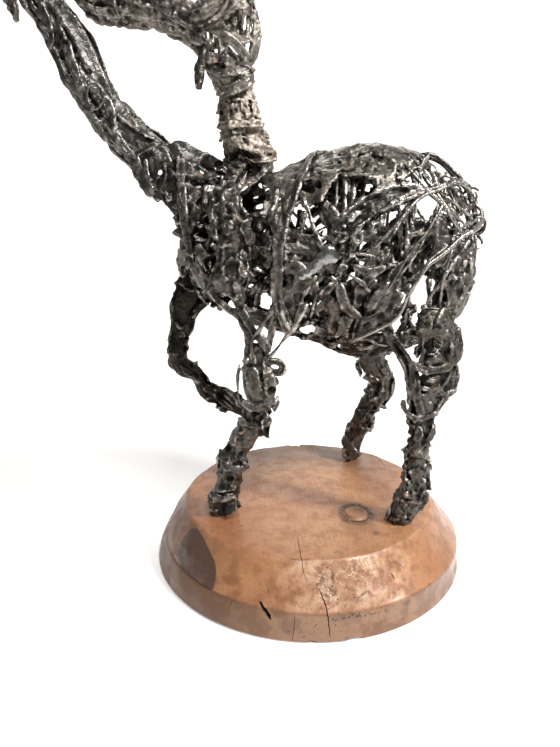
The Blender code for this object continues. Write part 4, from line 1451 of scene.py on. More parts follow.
@dataclass
class Belly:
    """The sheet and rods under the barrel, open in places."""

    barrel: Barrel
    finish: IronFinish
    start: float = -0.058
    length: float = 0.158
    first_angle: float = 132
    sweep: float = 96
    hoops: Spot = (0.096, 0.114)

    def keeps(self, place: Vector) -> bool:
        """Says whether there is metal at a place on the sheet."""
        rag = swirl_at(place, 0.010, 14) + 0.5 * swirl_at(place, 0.004, 15)
        return rag < 0.52 and BARREL_OPENINGS.clear(place, 0.0004)

    def build(self) -> bpy.types.Object:
        """Makes the belly.

        Returns:
            The finished piece.
        """
        beating = Beating(((0.0065, 0.0010), (0.0030, 0.0004)), ((0.0075, 0.0012),), 0.0006)
        nodes = ("belly_plate", "rib_7", "rib_8")
        weld = Weldment("belly", self.finish, 12, 0.0012, beating, replaces=nodes)
        x_at = lambda u: self.start + self.length * u
        form = lambda u, v: self.barrel.skin(x_at(u), radians(self.first_angle + self.sweep * v), 0.002)
        weld.add(beaten_sheet(form, (100, 60), 0.0016, self.keeps, 0.0016, 17))
        dice = Random(12)
        for side in (LEFT, RIGHT):
            for scrap in (Scrap(-30, 222, 22, 8, 16, 0, 30), Scrap(30, 204, 46, 9, 44, 6, 35, (-2, 4))):
                self.barrel.pack(weld, side, scrap, dice)
        for x in self.hoops:
            self.barrel.hoop(weld, x, x - 0.003, (-30, -175), 0.0022)
            self.barrel.hoop(weld, x, x - 0.003, (120, 180), 0.0022)
        return weld.finished()


@dataclass
class Innards:
    """Rusty plates and rods inside the barrel, nearly black as painted shade, which darken it and show
    through its openings.
    """

    barrel: Barrel
    finish: IronFinish

    def build(self) -> bpy.types.Object:
        """Makes the innards.

        Returns:
            The finished piece.
        """
        weld = Weldment("innards", self.finish, 21, 0.0015)
        dice = Random(21)
        for scrap in (
            Scrap(-75, 290, 35, 36, 26, 80, 60, (-30, -12), (3, 6), (20, 50)),
            Scrap(0, 262, 45, 30, 34, 60, 70, (-34, -12), (3, 7), (20, 50)),
            Scrap(60, 245, 40, 28, 34, 60, 70, (-34, -12), (3, 6), (20, 50)),
            Scrap(40, 310, 45, 18, 12, 70, 60, (-30, -12), (1.5, 3), (20, 50)),
        ):
            for side in (LEFT, RIGHT):
                self.barrel.pack(weld, side, scrap, dice)
        return weld.finished()


@dataclass
class DrawnRods:
    """The clean rods that lean across the barrel and round the rump."""

    barrel: Barrel
    finish: IronFinish
    left: tuple[Member, ...] = (
        rod(((90, 312), (82, 296), (70, 280), (62, 267), (54, 254)), 1.1, 8.5),
        rod((
            (130, 306), (120, 296), (106, 289), (94, 279), (83, 271), (75, 259), (69, 250), (66, 241),
            (59, 231), (47, 224), (32, 215),
        ), 1.6, 9),
        rod(((96, 283), (85, 275), (77, 262), (71, 250), (64, 240)), 1.1, 7.8),
        rod(((71, 344), (80, 332), (90, 318), (101, 302), (110, 290)), 1.6, 4),
        rod(((93, 347), (84, 342), (77, 332), (80, 322)), 1.3, 6),
        rod(((66, 339), (76, 327), (85, 318), (93, 310), (103, 296)), 1.4, 6),
        rod(((44, 283), (52, 292), (61, 302), (72, 314), (85, 320), (103, 324), (126, 316)), 1.3, 7.5),
        rod(((100, 281), (95, 262), (94, 247), (92, 232)), 1.1, 7.5),
        rod(((18, 279), (32, 278), (46, 276)), 1.4, -2),
        rod(((81, 340), (88, 327), (94, 312)), 1.2, 1),
        rod(((-29, 262), (-28, 244), (-20, 219), (-18, 211)), 1.2, 6),
    )
    right: tuple[Member, ...] = (
        rod(((96, 320), (80, 296), (60, 268), (46, 240)), 1.4, 8),
        rod(((120, 296), (100, 276), (78, 256), (60, 228)), 1.6, 9),
        rod(((62, 338), (84, 322), (104, 298)), 1.6, 6),
        rod(((-20, 310), (0, 290), (12, 262), (14, 236)), 1.4, 8),
        rod(((50, 330), (74, 332), (98, 322), (120, 306)), 1.4, 7),
        rod(((20, 320), (34, 292), (40, 262)), 1.3, 7),
    )

    def build(self) -> bpy.types.Object:
        """Makes the rods.

        Returns:
            The finished piece.
        """
        nodes = [f"side_rod_{name}_{number}" for name in SIDES.values() for number in (1, 2, 4)]
        warp = ((0.03, 0.0010), (0.008, 0.0003))
        weld = Weldment("drawn_rods", self.finish, 17, warp=warp, replaces=(*nodes, "horn_strap_right"))
        for side, members in ((LEFT, self.left), (RIGHT, self.right)):
            for member in members:
                route = self.barrel.along(side, member.spots, member.lift, max(8, member.steps(2)))
                weld.add(bar(route, *metres((member.half_width, member.half_thickness)), ROD, (0.5, 0.5)))
        return weld.finished(fuse=False)


@dataclass
class Rump:
    """The hoops over the rump, the nest of thin rods under them and the flat tail."""

    finish: IronFinish
    hoops: tuple[Sequence[Point], ...] = (
        ((86, -4, 352), (98, -6, 350), (112, -8, 340), (124, -10, 326), (130, -10, 308), (134, -6, 292)),
        ((84, 6, 353), (104, 4, 346.5), (118, 2, 334), (130, 0, 322), (134.5, 0, 308), (138, 0, 291)),
        ((88, 20, 348), (104, 22, 338), (118, 22, 322), (126, 18, 300)),
        ((76, -24, 346), (90, -26, 338), (106, -26, 326), (118, -22, 312), (126, -14, 298)),
    )
    tail: Sequence[Point] = (
        (132, -4, 290), (133.8, -4, 276), (133.6, -4, 262), (133.4, -4, 246), (129.5, -4, 231),
        (122.5, -4, 218),
    )

    def nest(self, weld: Weldment, dice: Random) -> None:
        """Adds the small loops of rod under the hoops."""
        laid = 0
        room = ((0.104, 0.131), (-0.034, 0.016), (0.284, 0.328))
        for _ in range(600):
            middle = Vector([dice.uniform(*span) for span in room])
            radius = dice.uniform(0.0035, 0.0080)
            first = Vector((dice.gauss(0, 1), dice.gauss(0, 0.5), dice.gauss(0, 1))).normalized()
            second = first.cross(Vector((dice.gauss(0, 0.4), 1, dice.gauss(0, 0.4)))).normalized()
            turn = dice.uniform(1.6, 4.6)
            route = [
                (middle + first * (radius * cos(angle)) + second * (radius * sin(angle)), ACROSS)
                for angle in (turn * step / 10 for step in range(11))
            ]
            thick = dice.uniform(0.0011, 0.0014)
            if laid < 60 and all(BARREL_OPENINGS.clear(place) and place.x < 0.1350 for place, _ in route):
                weld.add(bar(route, thick, thick, ROD))
                laid += 1

    def build(self) -> bpy.types.Object:
        """Makes the rump and tail.

        Returns:
            The finished piece.
        """
        nodes = ("rump_strap", "tail", "haunch_plate_right")
        beating = Beating(((0.005, 0.0003),), ())
        weld = Weldment("rump_and_tail", self.finish, 19, 0.0008, beating, ((0.02, 0.0008),), nodes)
        dice = Random(19)
        for points, radius in zip(self.hoops, (0.0017, 0.0022, 0.0016, 0.0016)):
            route = [(Vector(metres(point)), ACROSS) for point in spaced(points, 26)]
            weld.add(bar(route, radius, radius, ROD, (0.8, 0.8)))
        self.nest(weld, dice)
        facing = Vector((0.5, -1, 0)).normalized()
        route = [(Vector(metres(point)), facing) for point in spaced(self.tail, 18)]
        weld.add(bar(route, 0.0050, 0.0011, STRAP, (0.6, 0.3), (0.3, -0.3)))
        loop = [
            (Vector((0.1355 + 0.003 * cos(a), -0.006, 0.290 + 0.005 * sin(a))), ACROSS)
            for a in [0.3 + 5.0 * step / 12 for step in range(13)]
        ]
        weld.add(bar(loop, 0.0012, 0.0012, ROD))
        tip = [(Vector((0.128 + 0.0008 * n, -0.012, 0.300 + 0.0007 * n)), ACROSS) for n in range(12)]
        weld.add(bar(tip, 0.0011, 0.0011, ROD))
        return weld.finished()


@dataclass
class WeldBlob:
    """The bright drop of weld metal on the left flank."""

    barrel: Barrel
    finish: IronFinish

    def build(self) -> bpy.types.Object:
        """Makes the drop.

        Returns:
            The finished piece.
        """
        beating = Beating(((0.006, 0.0007), (0.0022, 0.00012)), (), 0.0, 4)
        weld = Weldment("weld_drop", self.finish, 5, 0.0006, beating, ((0.012, 0.0006),))
        dice = Random(5)
        beads = (
            (-9.2, 262.5, 3.2), (-5.5, 265.5, 4.2), (-1.5, 268.6, 4.7), (2.2, 271.2, 4.6), (5.8, 275, 5.4),
            (9.8, 278.5, 6.6), (12.8, 275.8, 4.6),
        )
        for x, z, radius in map(metres, beads):
            place, outward = self.barrel.skin(x, self.barrel.angle_at(x, z), 0.0065)
            builder = bmesh.new()
            bmesh.ops.create_icosphere(builder, subdivisions=3, radius=1.0)
            turn = outward.to_track_quat("Z", "Y").to_matrix().to_4x4()
            size = Matrix.Diagonal((radius, radius * dice.uniform(0.9, 1.1), 0.62 * radius, 1.0))
            placed = Matrix.Translation(place) @ turn @ size
            bmesh.ops.transform(builder, matrix=placed, verts=builder.verts)
            weld.add(builder)
        return weld.finished()


# ---------------------------------------------------------------- the horse's legs

GROUND = 54.2
FACETS = Beating(((0.0090, 0.0006), (0.0032, 0.00022)), ((0.0095, 0.0008),), 0.0004)
FLOWING = Beating(((0.0060, 0.0004), (0.0026, 0.00025)), ((0.0080, 0.0006),), 0.0)
CRUST = Beating(((0.0060, 0.0007), (0.0022, 0.0005)), ((0.0046, 0.0005),), 0.0012, 0)


def fore_leg_left() -> WeldedLimb:
    """The left foreleg, with its block of a knee and the straps that spread from it to the shoulder."""
    rows = (
        (-75, -41, GROUND, 10, 9), (-76.5, -41, 61, 11.2, 11.2), (-75.5, -41.5, 73.5, 11, 12.2),
        (-69.5, -42.5, 90.5, 10, 10), (-66.5, -43, 102.7, 10.4, 10.8), (-59.7, -43.8, 115, 10.4, 10),
        (-54, -44.5, 127, 11.2, 11.8), (-48.5, -45, 140, 10, 9.6), (-44.5, -45.5, 150, 10, 9.4),
        (-41.5, -46, 164, 13.6, 15.5), (-44.2, -46.5, 179, 13, 13), (-45, -47.5, 193, 10.5, 11.8),
        (-48, -48, 203, 7, 8),
    )
    extras = (
        Strand((
            (-90, -52, 284), (-86.5, -53, 271), (-80.4, -54, 254), (-74, -55, 244.6), (-62.7, -55, 234.8),
            (-55.1, -54, 225), (-50, -52, 208),
        ), 2.8, 1.6, (0, -1, 0.1)),
        Strand((
            (-68, -52, 252), (-59.7, -54, 244.3), (-54.1, -56, 232.5), (-47.4, -56, 220.6),
            (-40, -55, 210.6), (-34, -52, 200),
        ), 3.6, 1.4, taper=(0.6, 0.5)),
        Strand((
            (-28, -58, 256), (-29.1, -60, 246.1), (-34.5, -61, 233.6), (-42, -60, 219.9),
            (-47.3, -57, 212.9), (-49.3, -55, 200),
        ), 1.7, 1.6, stock=ROD),
        Strand((
            (-26.2, -62, 262), (-25.8, -62, 243.9), (-23.9, -61, 230.4), (-18.5, -59, 222),
        ), 1.4, 1.4, stock=ROD),
        Strand(((-30, -50, 252), (-29.7, -52, 230.6), (-32.5, -52, 218.6), (-35, -50, 202)), 2.8, 1.4),
        Strand((
            (-4, -60, 240), (-8.5, -60, 233.6), (-15.2, -60, 223.8), (-20, -59, 217.5), (-27.8, -58, 205.9),
            (-38, -56, 193),
        ), 1.5, 1.3, stock=ROD),
        Strand((
            (-34, -52, 185), (-28.5, -53, 184.6), (-24.7, -53, 186), (-23.8, -52, 189.2), (-27, -52, 192.4),
            (-34.5, -52, 192.5),
        ), 3, 3.4, taper=(0.9, 0.9)),
        Strand((
            (-58.5, -50, 190), (-59, -52, 178), (-58.8, -52, 164), (-56, -50, 154),
        ), 1.1, 1.1, stock=ROD),
        Strand(((-52.3, -48, 217), (-50.5, -50, 206), (-52, -52, 196.8)), 3.4, 1.6),
        Strand((
            (-55.5, -57, 160), (-47, -60, 157), (-38, -60, 160), (-29, -56, 164),
        ), 3.6, 1.6, (0, -1, -0.2)),
        Strand((
            (-56, -52, 139), (-47, -56, 142), (-38, -54, 142), (-31, -48, 145),
        ), 2.6, 1.4, (0, -1, 0.3), (0.5, 0.2)),
        Strand(((-50, -60, 190), (-47, -62, 180), (-45, -62, 168)), 6, 2, (-0.3, -1, 0)),
        Strand(((-37, -58, 190), (-34, -60, 178), (-32, -58, 166)), 5.5, 2, (0.5, -1, 0)),
        Strand(((-74, -51, 107), (-64, -55, 101.5), (-54, -51, 100)), 4, 1.8, (0, -1, 0.2)),
        Strand(((-85, -50, 80), (-75, -55, 74.5), (-64, -51, 76)), 3.4, 1.8, (0, -1, 0.3)),
    )
    return WeldedLimb(
        "fore_leg_left", rows, BLACKENED, 4, 0.82,
        nodes=("fore_leg_left", "fore_strap_left_1", "fore_strap_left_2", "fore_strap_left_3"), strands=6,
        strand_width=(3, 6), strand_reach=(0.1, 0.22), twist=1.2, crags=16, crag_size=(4.5, 9.5), plates=44,
        plate_size=(5, 10), extras=extras,
        dents=(
            Dent((-67, -53, 89.5), 5.2, 5), Dent((-57.5, -54, 112.5), 5, 4.8),
            Dent((-45, -56, 152), 5, 3.6), Dent((-33, -60, 172), 4.5, 4),
        ),
        beating=FACETS,
    )


def fore_leg_right() -> WeldedLimb:
    """The raised right foreleg, bent at the knee, with its cannon folded back."""
    rows = (
        (-52, 44, 110, 6, 7), (-65, 44.5, 121, 8.5, 9.5), (-80, 45, 130, 8.8, 10.4),
        (-93, 45.2, 137.5, 8, 8.6), (-99.5, 45.5, 143, 7, 6.6), (-108, 45.8, 157, 7.2, 7),
        (-121.5, 46, 166.5, 8.8, 8.4), (-123.5, 46.5, 176.5, 9.2, 8.6), (-122.4, 46.8, 187, 9.4, 9.8),
        (-120, 47, 199, 9.8, 10.4), (-116, 47.5, 220, 10.5, 12.2), (-109, 48, 240, 11, 14.5),
        (-104, 48, 256, 10.5, 16),
    )
    extras = (
        Strand(((-120, 34, 168), (-112, 35, 158), (-104, 36, 150), (-98, 36, 143)), 2, 1.6, stock=ROD),
        Strand(((-119, 38, 244), (-110, 36, 238), (-96, 38, 236), (-88, 42, 240)), 1.8, 1.6, stock=ROD),
        Strand(((-92, 36, 147), (-83, 34, 143), (-74, 35, 137), (-68, 36, 128)), 3, 2, (0, -1, 0.4)),
        Strand(((-88, 34, 138), (-80, 33, 131), (-72, 34, 124)), 2.4, 1.8, (0, -1, 0.1)),
        Strand(((-92, 46, 226), (-104, 44, 218), (-110, 42, 206)), 3, 1.6, (0.3, -1, 0)),
    )
    return WeldedLimb(
        "fore_leg_right", rows, SHADED_SCRAP, 7, 0.76, strands=24, crags=8, plates=20, plate_size=(4, 8),
        extras=extras, dents=(Dent((-104, 36, 157), 4, 2), Dent((-81.5, 34, 137.5), 3.5, 2)),
    )


def hind_leg_left() -> WeldedLimb:
    """The left hind leg: a pitted hoof, a lumpy cannon and an open hock of plates and rods."""
    rows = (
        (74.5, -54.5, GROUND, 8.5, 7.8), (79, -55, 64, 10.8, 11.2), (85.5, -55.5, 79, 11.2, 14),
        (88.5, -56, 96, 10.2, 11.2), (88, -56, 115, 8.8, 9), (89, -56.5, 133, 9, 9.2),
        (89, -57, 148, 9.8, 11.2), (90.5, -57.5, 161, 10, 13), (97.5, -58, 178, 9.5, 16),
        (97.5, -59, 194, 10, 15), (95.5, -60, 210, 10, 16), (90, -61, 226, 9, 15), (90, -62, 238, 7, 12),
    )
    side = (0, -1, 0)
    extras = (
        # The plates behind the hock and the rods across them.
        Strand(((112, -52, 190), (113, -54, 180), (112, -55, 170)), 4.5, 1.6, side, (0.9, 0.9)),
        Strand((
            (93, -62, 167.5), (101, -63, 167.2), (108, -62, 169), (115, -58, 171.5),
        ), 2.6, 2, side, (0.8, 0.8)),
        Strand(((90, -50, 188), (96, -50, 180), (99, -50, 174)), 5, 1.4, (0.2, -1, 0.2)),
        Strand(((100, -50, 236), (101.5, -50, 215), (102, -50, 193)), 11.5, 1.4, side, (0.9, 0.9)),
        Strand(((101.5, -47, 188), (103, -47, 172)), 9.5, 1.4, side, (0.9, 0.9)),
        Strand(((95.7, -66, 170), (99.8, -68, 178.1), (109, -66, 190)), 1.5, 1.3, side, stock=ROD),
        Strand((
            (82, -64, 176.5), (90, -67, 176.2), (96.8, -68, 176.8), (112, -63, 179.2),
        ), 1.3, 1.3, side, stock=ROD),
        Strand((
            (88, -64, 170), (93, -66, 173), (98.5, -66, 174.5), (106, -64, 180), (111, -60, 187),
        ), 2.2, 1.2, side),
        Strand(((101, -56, 154), (103, -56, 160), (109, -56, 165)), 4, 1.8, side),
        # The band under the haunch and the plates over it.
        Strand((
            (74.5, -63, 196), (80, -67, 192.5), (87, -68, 190.5), (99.3, -68, 191.3), (106, -65, 195),
            (112.5, -60, 196),
        ), 3, 2, (0, -1, 0.2), (0.7, 0.7)),
        Strand((
            (86, -67, 203.5), (91, -70, 204), (96, -70, 202), (98.5, -67, 198),
        ), 3.4, 1.4, (0, -1, 0.3)),
        Strand(((87, -68, 196), (92, -70, 198.5), (97.5, -68, 198)), 2.6, 1.4, (0, -1, -0.3)),
        Strand(((111, -55, 222), (112.5, -56, 208), (112, -57, 194)), 5.5, 1.8, (0.4, -1, 0), (0.8, 0.8)),
        Strand(((86, -66, 216), (92, -68, 220.5), (98, -67, 219), (102, -64, 212)), 2.6, 1.4, (0, -1, 0.2)),
        Strand(((87, -69, 213.5), (92, -70, 211), (96, -68, 209)), 2.8, 0.9, (0, -1, -0.2), (0.3, 0.3)),
        Strand(((101, -64, 224), (104, -64, 215), (104, -64, 202)), 3, 1.4, (0.3, -1, 0)),
        Strand(((83, -65, 230), (84.5, -67, 216), (83, -67, 204), (81.5, -66, 196)), 2, 1.4, side),
        Strand((
            (54, -50, 223), (61, -56, 214.5), (69, -60, 202), (76.5, -60, 189), (79, -60, 176.5),
            (80, -60, 162), (85, -60, 150),
        ), 4.6, 4.2, side, (0.9, 0.9)),
        Strand(((57, -56, 219), (70, -66, 204), (77.5, -66, 185), (77, -66, 166)), 2.2, 1.8, side),
        Strand((
            (79, -62, 190), (80, -66, 176.3), (82.5, -68, 164.7), (86, -66, 154),
        ), 3.4, 2, side, (0.8, 0.8)),
        Strand((
            (72, -60, 164), (73, -62, 157), (80, -66, 152), (90, -67, 151.2), (100, -62, 155),
        ), 2.2, 1.8, (0, -1, -0.3), (0.8, 0.8)),
        Strand(((98.5, -62, 144), (94, -66, 137), (90.5, -66, 129)), 3, 1.6, (0.3, -1, 0)),
        Strand(((85, -67, 144), (84, -67, 130), (83, -66, 118)), 3, 1.6, (-0.3, -1, 0)),
    )
    return WeldedLimb(
        "hind_leg_left", rows, BLACKENED, 9, 0.82, ((0.0, 0.58),), strand_width=(1.6, 3.6),
        strand_reach=(0.1, 0.22), crags=34, crag_size=(2.6, 6.5), plates=70, plate_size=(4, 8),
        shell=(0.5, 1.0), shell_lift=-3, extras=extras,
        dents=(Dent((90, -64, 208), 8.5, 8), Dent((87, -64, 227), 5, 6), Dent((103, -62, 178), 6, 6)),
        beating=FACETS,
    )


def hind_leg_right() -> WeldedLimb:
    """The right hind leg, with the small ring at its hoof and the web in the groin."""
    rows = (
        (48, 72, GROUND, 6, 6.5), (50, 71.8, 70, 9.5, 11), (56, 71.2, 90, 10, 12.2),
        (64, 70.5, 110, 9.8, 11.2), (74, 70, 127, 10.5, 13), (76, 69.5, 143, 10, 11.2),
        (70, 69, 156, 10.5, 14.5), (62.5, 66, 178, 10.5, 16.5), (64, 63, 200, 8.5, 20),
        (74, 62, 220, 5.5, 19), (84, 62, 236, 4, 16),
    )
    ring = tuple((45.2 + 5.2 * cos(pi * k / 5), 64, 64 + 5.6 * sin(pi * k / 5)) for k in range(11))
    extras = (
        Strand(ring, 1.3, 1.5, taper=(1.0, 1.0), stock=STRAP),
        Strand(((50, 0, 208), (60, 8, 198.5), (70, 14, 190), (78, 20, 184)), 6, 1.6, taper=(0.7, 0.5)),
        Strand(((56, 10, 210), (64, 16, 201), (73.7, 20, 200), (82, 10, 196)), 4, 1.4, (0, -1, 0.3)),
        Strand(((52, 20, 192), (60, 20, 198), (70, 10, 196), (78, -10, 190), (80, -30, 188)), 3.6, 1.4),
        Strand(((66, 40, 198), (70, 10, 192), (76, -20, 190), (79, -48, 190)), 3, 1.4, (0, 0, 1)),
    )
    return WeldedLimb(
        "hind_leg_right", rows, BLACKENED, 10, 0.8, strands=8, strand_width=(2.2, 4.6),
        strand_reach=(0.1, 0.25), crags=16, crag_size=(3.5, 7.5), plates=40, plate_size=(4, 8),
        extras=extras,
        dents=(Dent((66, 56, 160), 4.5, 3), Dent((76, 58, 159), 3, 2), Dent((70, 60, 130), 4, 2)),
        beating=FACETS,
    )


# ---------------------------------------------------------------- the horse's neck and head


def neck() -> WeldedLimb:
    """The neck: long straps that flow from the crest into the shoulders, with one hole through its root."""
    rows = (
        (-103, 0, 323.5, 29, 20), (-119, 0, 337, 23.5, 20), (-139, 0, 358, 16.5, 16.5),
        (-153.5, 0, 372, 15, 14.5), (-168, 0, 388, 14, 13.5), (-181, 0, 412, 13.5, 12.8),
        (-192, 0, 438, 13, 12.4), (-204, 0, 462, 13.5, 14.2), (-208.5, 0, 483, 12.5, 12.8),
    )
    left = (
        # The long smooth strap of the crest, split from the neck for most of its length.
        Strand((
            (-198, -8, 464), (-190, -11, 454), (-180, -12, 440), (-172, -12, 424), (-166, -11, 408),
            (-159, -10, 392), (-151, -10, 382),
        ), 5.2, 1.8, (0.35, -1, 0.1), (0.6, 0.5), swell=0.3),
        Strand((
            (-204, -12, 460), (-197.5, -15, 444), (-196, -16, 433), (-198.5, -15, 424),
        ), 2.6, 1.4, (-0.3, -1, 0)),
        Strand((
            (-185, -15, 430), (-183.5, -17, 418), (-177, -17, 402), (-174.5, -16, 388), (-169, -15, 378),
        ), 3.4, 1.5),
        # The oval loop and the strap that runs round it.
        Strand((
            (-170, -18, 399), (-162, -19, 400), (-158, -19, 391.4), (-163, -19, 384), (-170.5, -18, 384),
            (-172.5, -18, 391.4), (-170, -18, 399),
        ), 1.6, 1.4, stock=ROD),
        Strand((
            (-160, -17, 396), (-154.5, -18, 385), (-152, -19, 373), (-148, -19, 360), (-140, -20, 348),
        ), 2.8, 1.4, (0.3, -1, 0)),
        Strand((
            (-153.5, -11, 390), (-146.6, -13, 379), (-134.6, -13, 370.6), (-124, -14, 361),
        ), 4.5, 1.8, (0.6, -1, 0.3)),
        Strand((
            (-152, -4, 390), (-144.9, -5, 385), (-138.9, -5, 379),
        ), 4, 2.4, (0.6, -0.6, 0.6), (0.4, 0.4)),
        Strand((
            (-199, -10, 429), (-191.5, -13, 411), (-182, -14, 395), (-171.5, -14, 378), (-160, -13, 360),
        ), 3.2, 1.8, (-0.5, -1, -0.3), swell=0.3),
        Strand(((-195, -10, 416), (-188, -15, 408), (-180, -16, 395)), 3, 1.4),
        # The strap across the neck's root and the folded sheet below it.
        Strand((
            (-139, -18, 350.5), (-128.5, -21, 355), (-119, -22, 357.9), (-109, -22, 357.5),
        ), 2, 1.4, (0, -1, 0.4)),
        Strand((
            (-110, -22, 358.5), (-103, -26, 346.4), (-99, -30, 331.7), (-97.5, -34, 316.8),
            (-98.5, -38, 304),
        ), 4, 1.7, (-0.4, -1, 0), (0.6, 0.6), swell=0.3),
        Strand((
            (-109, -20, 359), (-98, -21, 354.5), (-86, -22, 350), (-73, -23, 344),
        ), 5, 1.5, (0.1, -1, 0.7), (0.5, 0.6)),
        Strand((
            (-106, -24, 354), (-95, -26, 347), (-84, -28, 342), (-73, -28, 337),
        ), 4.5, 1.4, (0.1, -1, 0.5), (0.4, 0.6)),
        Strand(((-104, -27, 348), (-96, -31, 340), (-88, -33, 334)), 4, 1.4, (0.1, -1, 0.3), (0.4, 0.6)),
        Strand((
            (-142, -16, 356), (-138.5, -18, 342), (-133, -21, 331), (-125.6, -25, 320),
        ), 5, 1.6, (-0.4, -1, 0), (0.6, 0.6)),
        Strand(((-130, -22, 347), (-131, -23, 338), (-127, -25, 331)), 2.4, 1.4),
        Strand(((-115, -24, 352), (-112, -26, 340), (-113, -29, 328), (-110, -32, 316)), 3.6, 1.5),
    )
    # The right side is plainer: the crest's strap, the long under strap and the folded sheet.
    right = tuple(left[index].mirrored() for index in (0, 2, 5, 7, 10, 11, 14, 16))
    return WeldedLimb(
        "neck", rows, NECK_IRON, 13, 0.8, ((0.26, 1.0),), strands=70, strand_width=(1.3, 3.6),
        strand_reach=(0.18, 0.45), twist=0.7, crags=8, crag_size=(2.6, 5), shell=(0.0, 0.36),
        extras=(*left, *right),
        dents=(
            Dent((-188, -13, 422), 4.5, 4), Dent((-185.7, -13, 429), 3.5, 3.5),
            Dent((-178.5, -13, 418.5), 3.5, 2.8), Dent((-171, -13, 410), 3.2, 2.6),
            Dent((-78, -26, 344), 10, 4), Dent((-133.5, -16, 363.2), 3.2, 3.5),
            Dent((-128, -16, 360), 3.6, 3.5),
        ),
        beating=FLOWING,
    )


def breast() -> WeldedLimb:
    """The breast: straps and crushed sheet that close the barrel below the neck."""
    rows = (
        (-115, 0, 346, 30, 18), (-108.5, 0, 328, 34, 16.5), (-99, 0, 312, 37, 14.5),
        (-92.5, 0, 296, 39, 13), (-89, 0, 276, 40, 13), (-83, 0, 252, 39, 14), (-70, 0, 234, 34, 12),
    )
    return WeldedLimb(
        "breast", rows, SHADED_SCRAP, 15, hearts=(), nodes=("chest_collar",), strands=60, strand_width=(2.2, 4.8),
        strand_lift=(-5, 1), twist=0.9, crags=34, crag_size=(3, 7.5), plates=30, shell=(0.0, 1.0),
        voxel=0.001,
    )


def horse_head() -> WeldedLimb:
    """The horse's head: a long plain wedge of straps with a jaw, an eye hollow and a nostril."""
    rows = (
        (-307, 0, 469, 8.5, 9), (-301, 0, 470.5, 11.5, 13.5), (-286, 0, 477.5, 9.8, 11.8),
        (-264, 0, 484.5, 10.5, 14), (-245, 0, 490, 13.6, 18), (-230, 0, 495, 14.5, 20),
        (-214, 0, 501.5, 12.8, 16.5), (-204, 0, 504, 8.5, 11),
    )
    left = (
        Strand((
            (-305, -6, 474), (-286, -8, 486), (-264, -10, 496), (-245, -12, 504), (-226, -10, 513),
            (-211, -8, 515),
        ), 3.6, 1.7, (0, -0.6, 0.8)),
        Strand((
            (-304, -9, 464), (-285, -10, 469), (-262, -11, 474), (-242, -14, 476), (-226, -14, 482),
            (-214, -12, 492),
        ), 3.4, 1.7, (0, -1, -0.3)),
        Strand((
            (-252, -14, 496), (-244, -16, 501), (-236, -16, 500), (-232, -16, 495),
        ), 1.8, 1.3, stock=ROD),
        Strand(((-307.5, -10, 470), (-303, -12, 474), (-298.5, -12, 472)), 1.5, 1.3, stock=ROD),
        Strand(((-234, -13, 474), (-228, -12, 470), (-228, -6, 464)), 2.6, 1.5),
    )
    return WeldedLimb(
        "horse_head", rows, NECK_IRON, 23, 0.84, strands=38, twist=0.5, crags=8, crag_size=(2.6, 4.8),
        extras=(*left, *(strand.mirrored() for strand in left)),
        dents=(
            Dent((-243, -15, 496.5), 4.2, 3), Dent((-304, -11, 470), 3.2, 2.2),
            Dent((-243, 15, 496.5), 4.2, 3), Dent((-304, 11, 470), 3.2, 2.2),
        ),
        beating=FLOWING,
    )


def cheek_drop() -> WeldedLimb:
    """The stub of strap that hangs under the horse's cheek."""
    rows = (
        (-229, 0, 478, 4.5, 5.5), (-230, 0, 464, 4.2, 5), (-228.5, 0, 456, 3.2, 4),
        (-226.5, 0, 450, 1.8, 2.2),
    )
    return WeldedLimb(
        "cheek_drop", rows, BLACKENED, 25, 0.8, strands=8, strand_width=(1.2, 2.2), crags=4,
        crag_size=(2, 3.4), voxel=0.0008,
    )


def ear(side: int) -> WeldedLimb:
    """An ear: a folded leaf."""
    rows = (
        (-209, 8.5, 513.5, 2.8, 5.2), (-207, 10, 526.5, 3, 5.8), (-205.5, 11.2, 534, 2.2, 4.2),
        (-204, 12, 540.5, 0.9, 1.4),
    )
    name = f"ear_{SIDES[side]}"
    inner = Dent((-211, 11, 525), 5, 1.6)
    return WeldedLimb(
        name, rows, BLACKENED, 26, 0.9, strands=5, strand_width=(1.2, 2), crags=0, dents=(inner,),
        voxel=0.0007, turned=side == LEFT,
    )


# ---------------------------------------------------------------- the rider


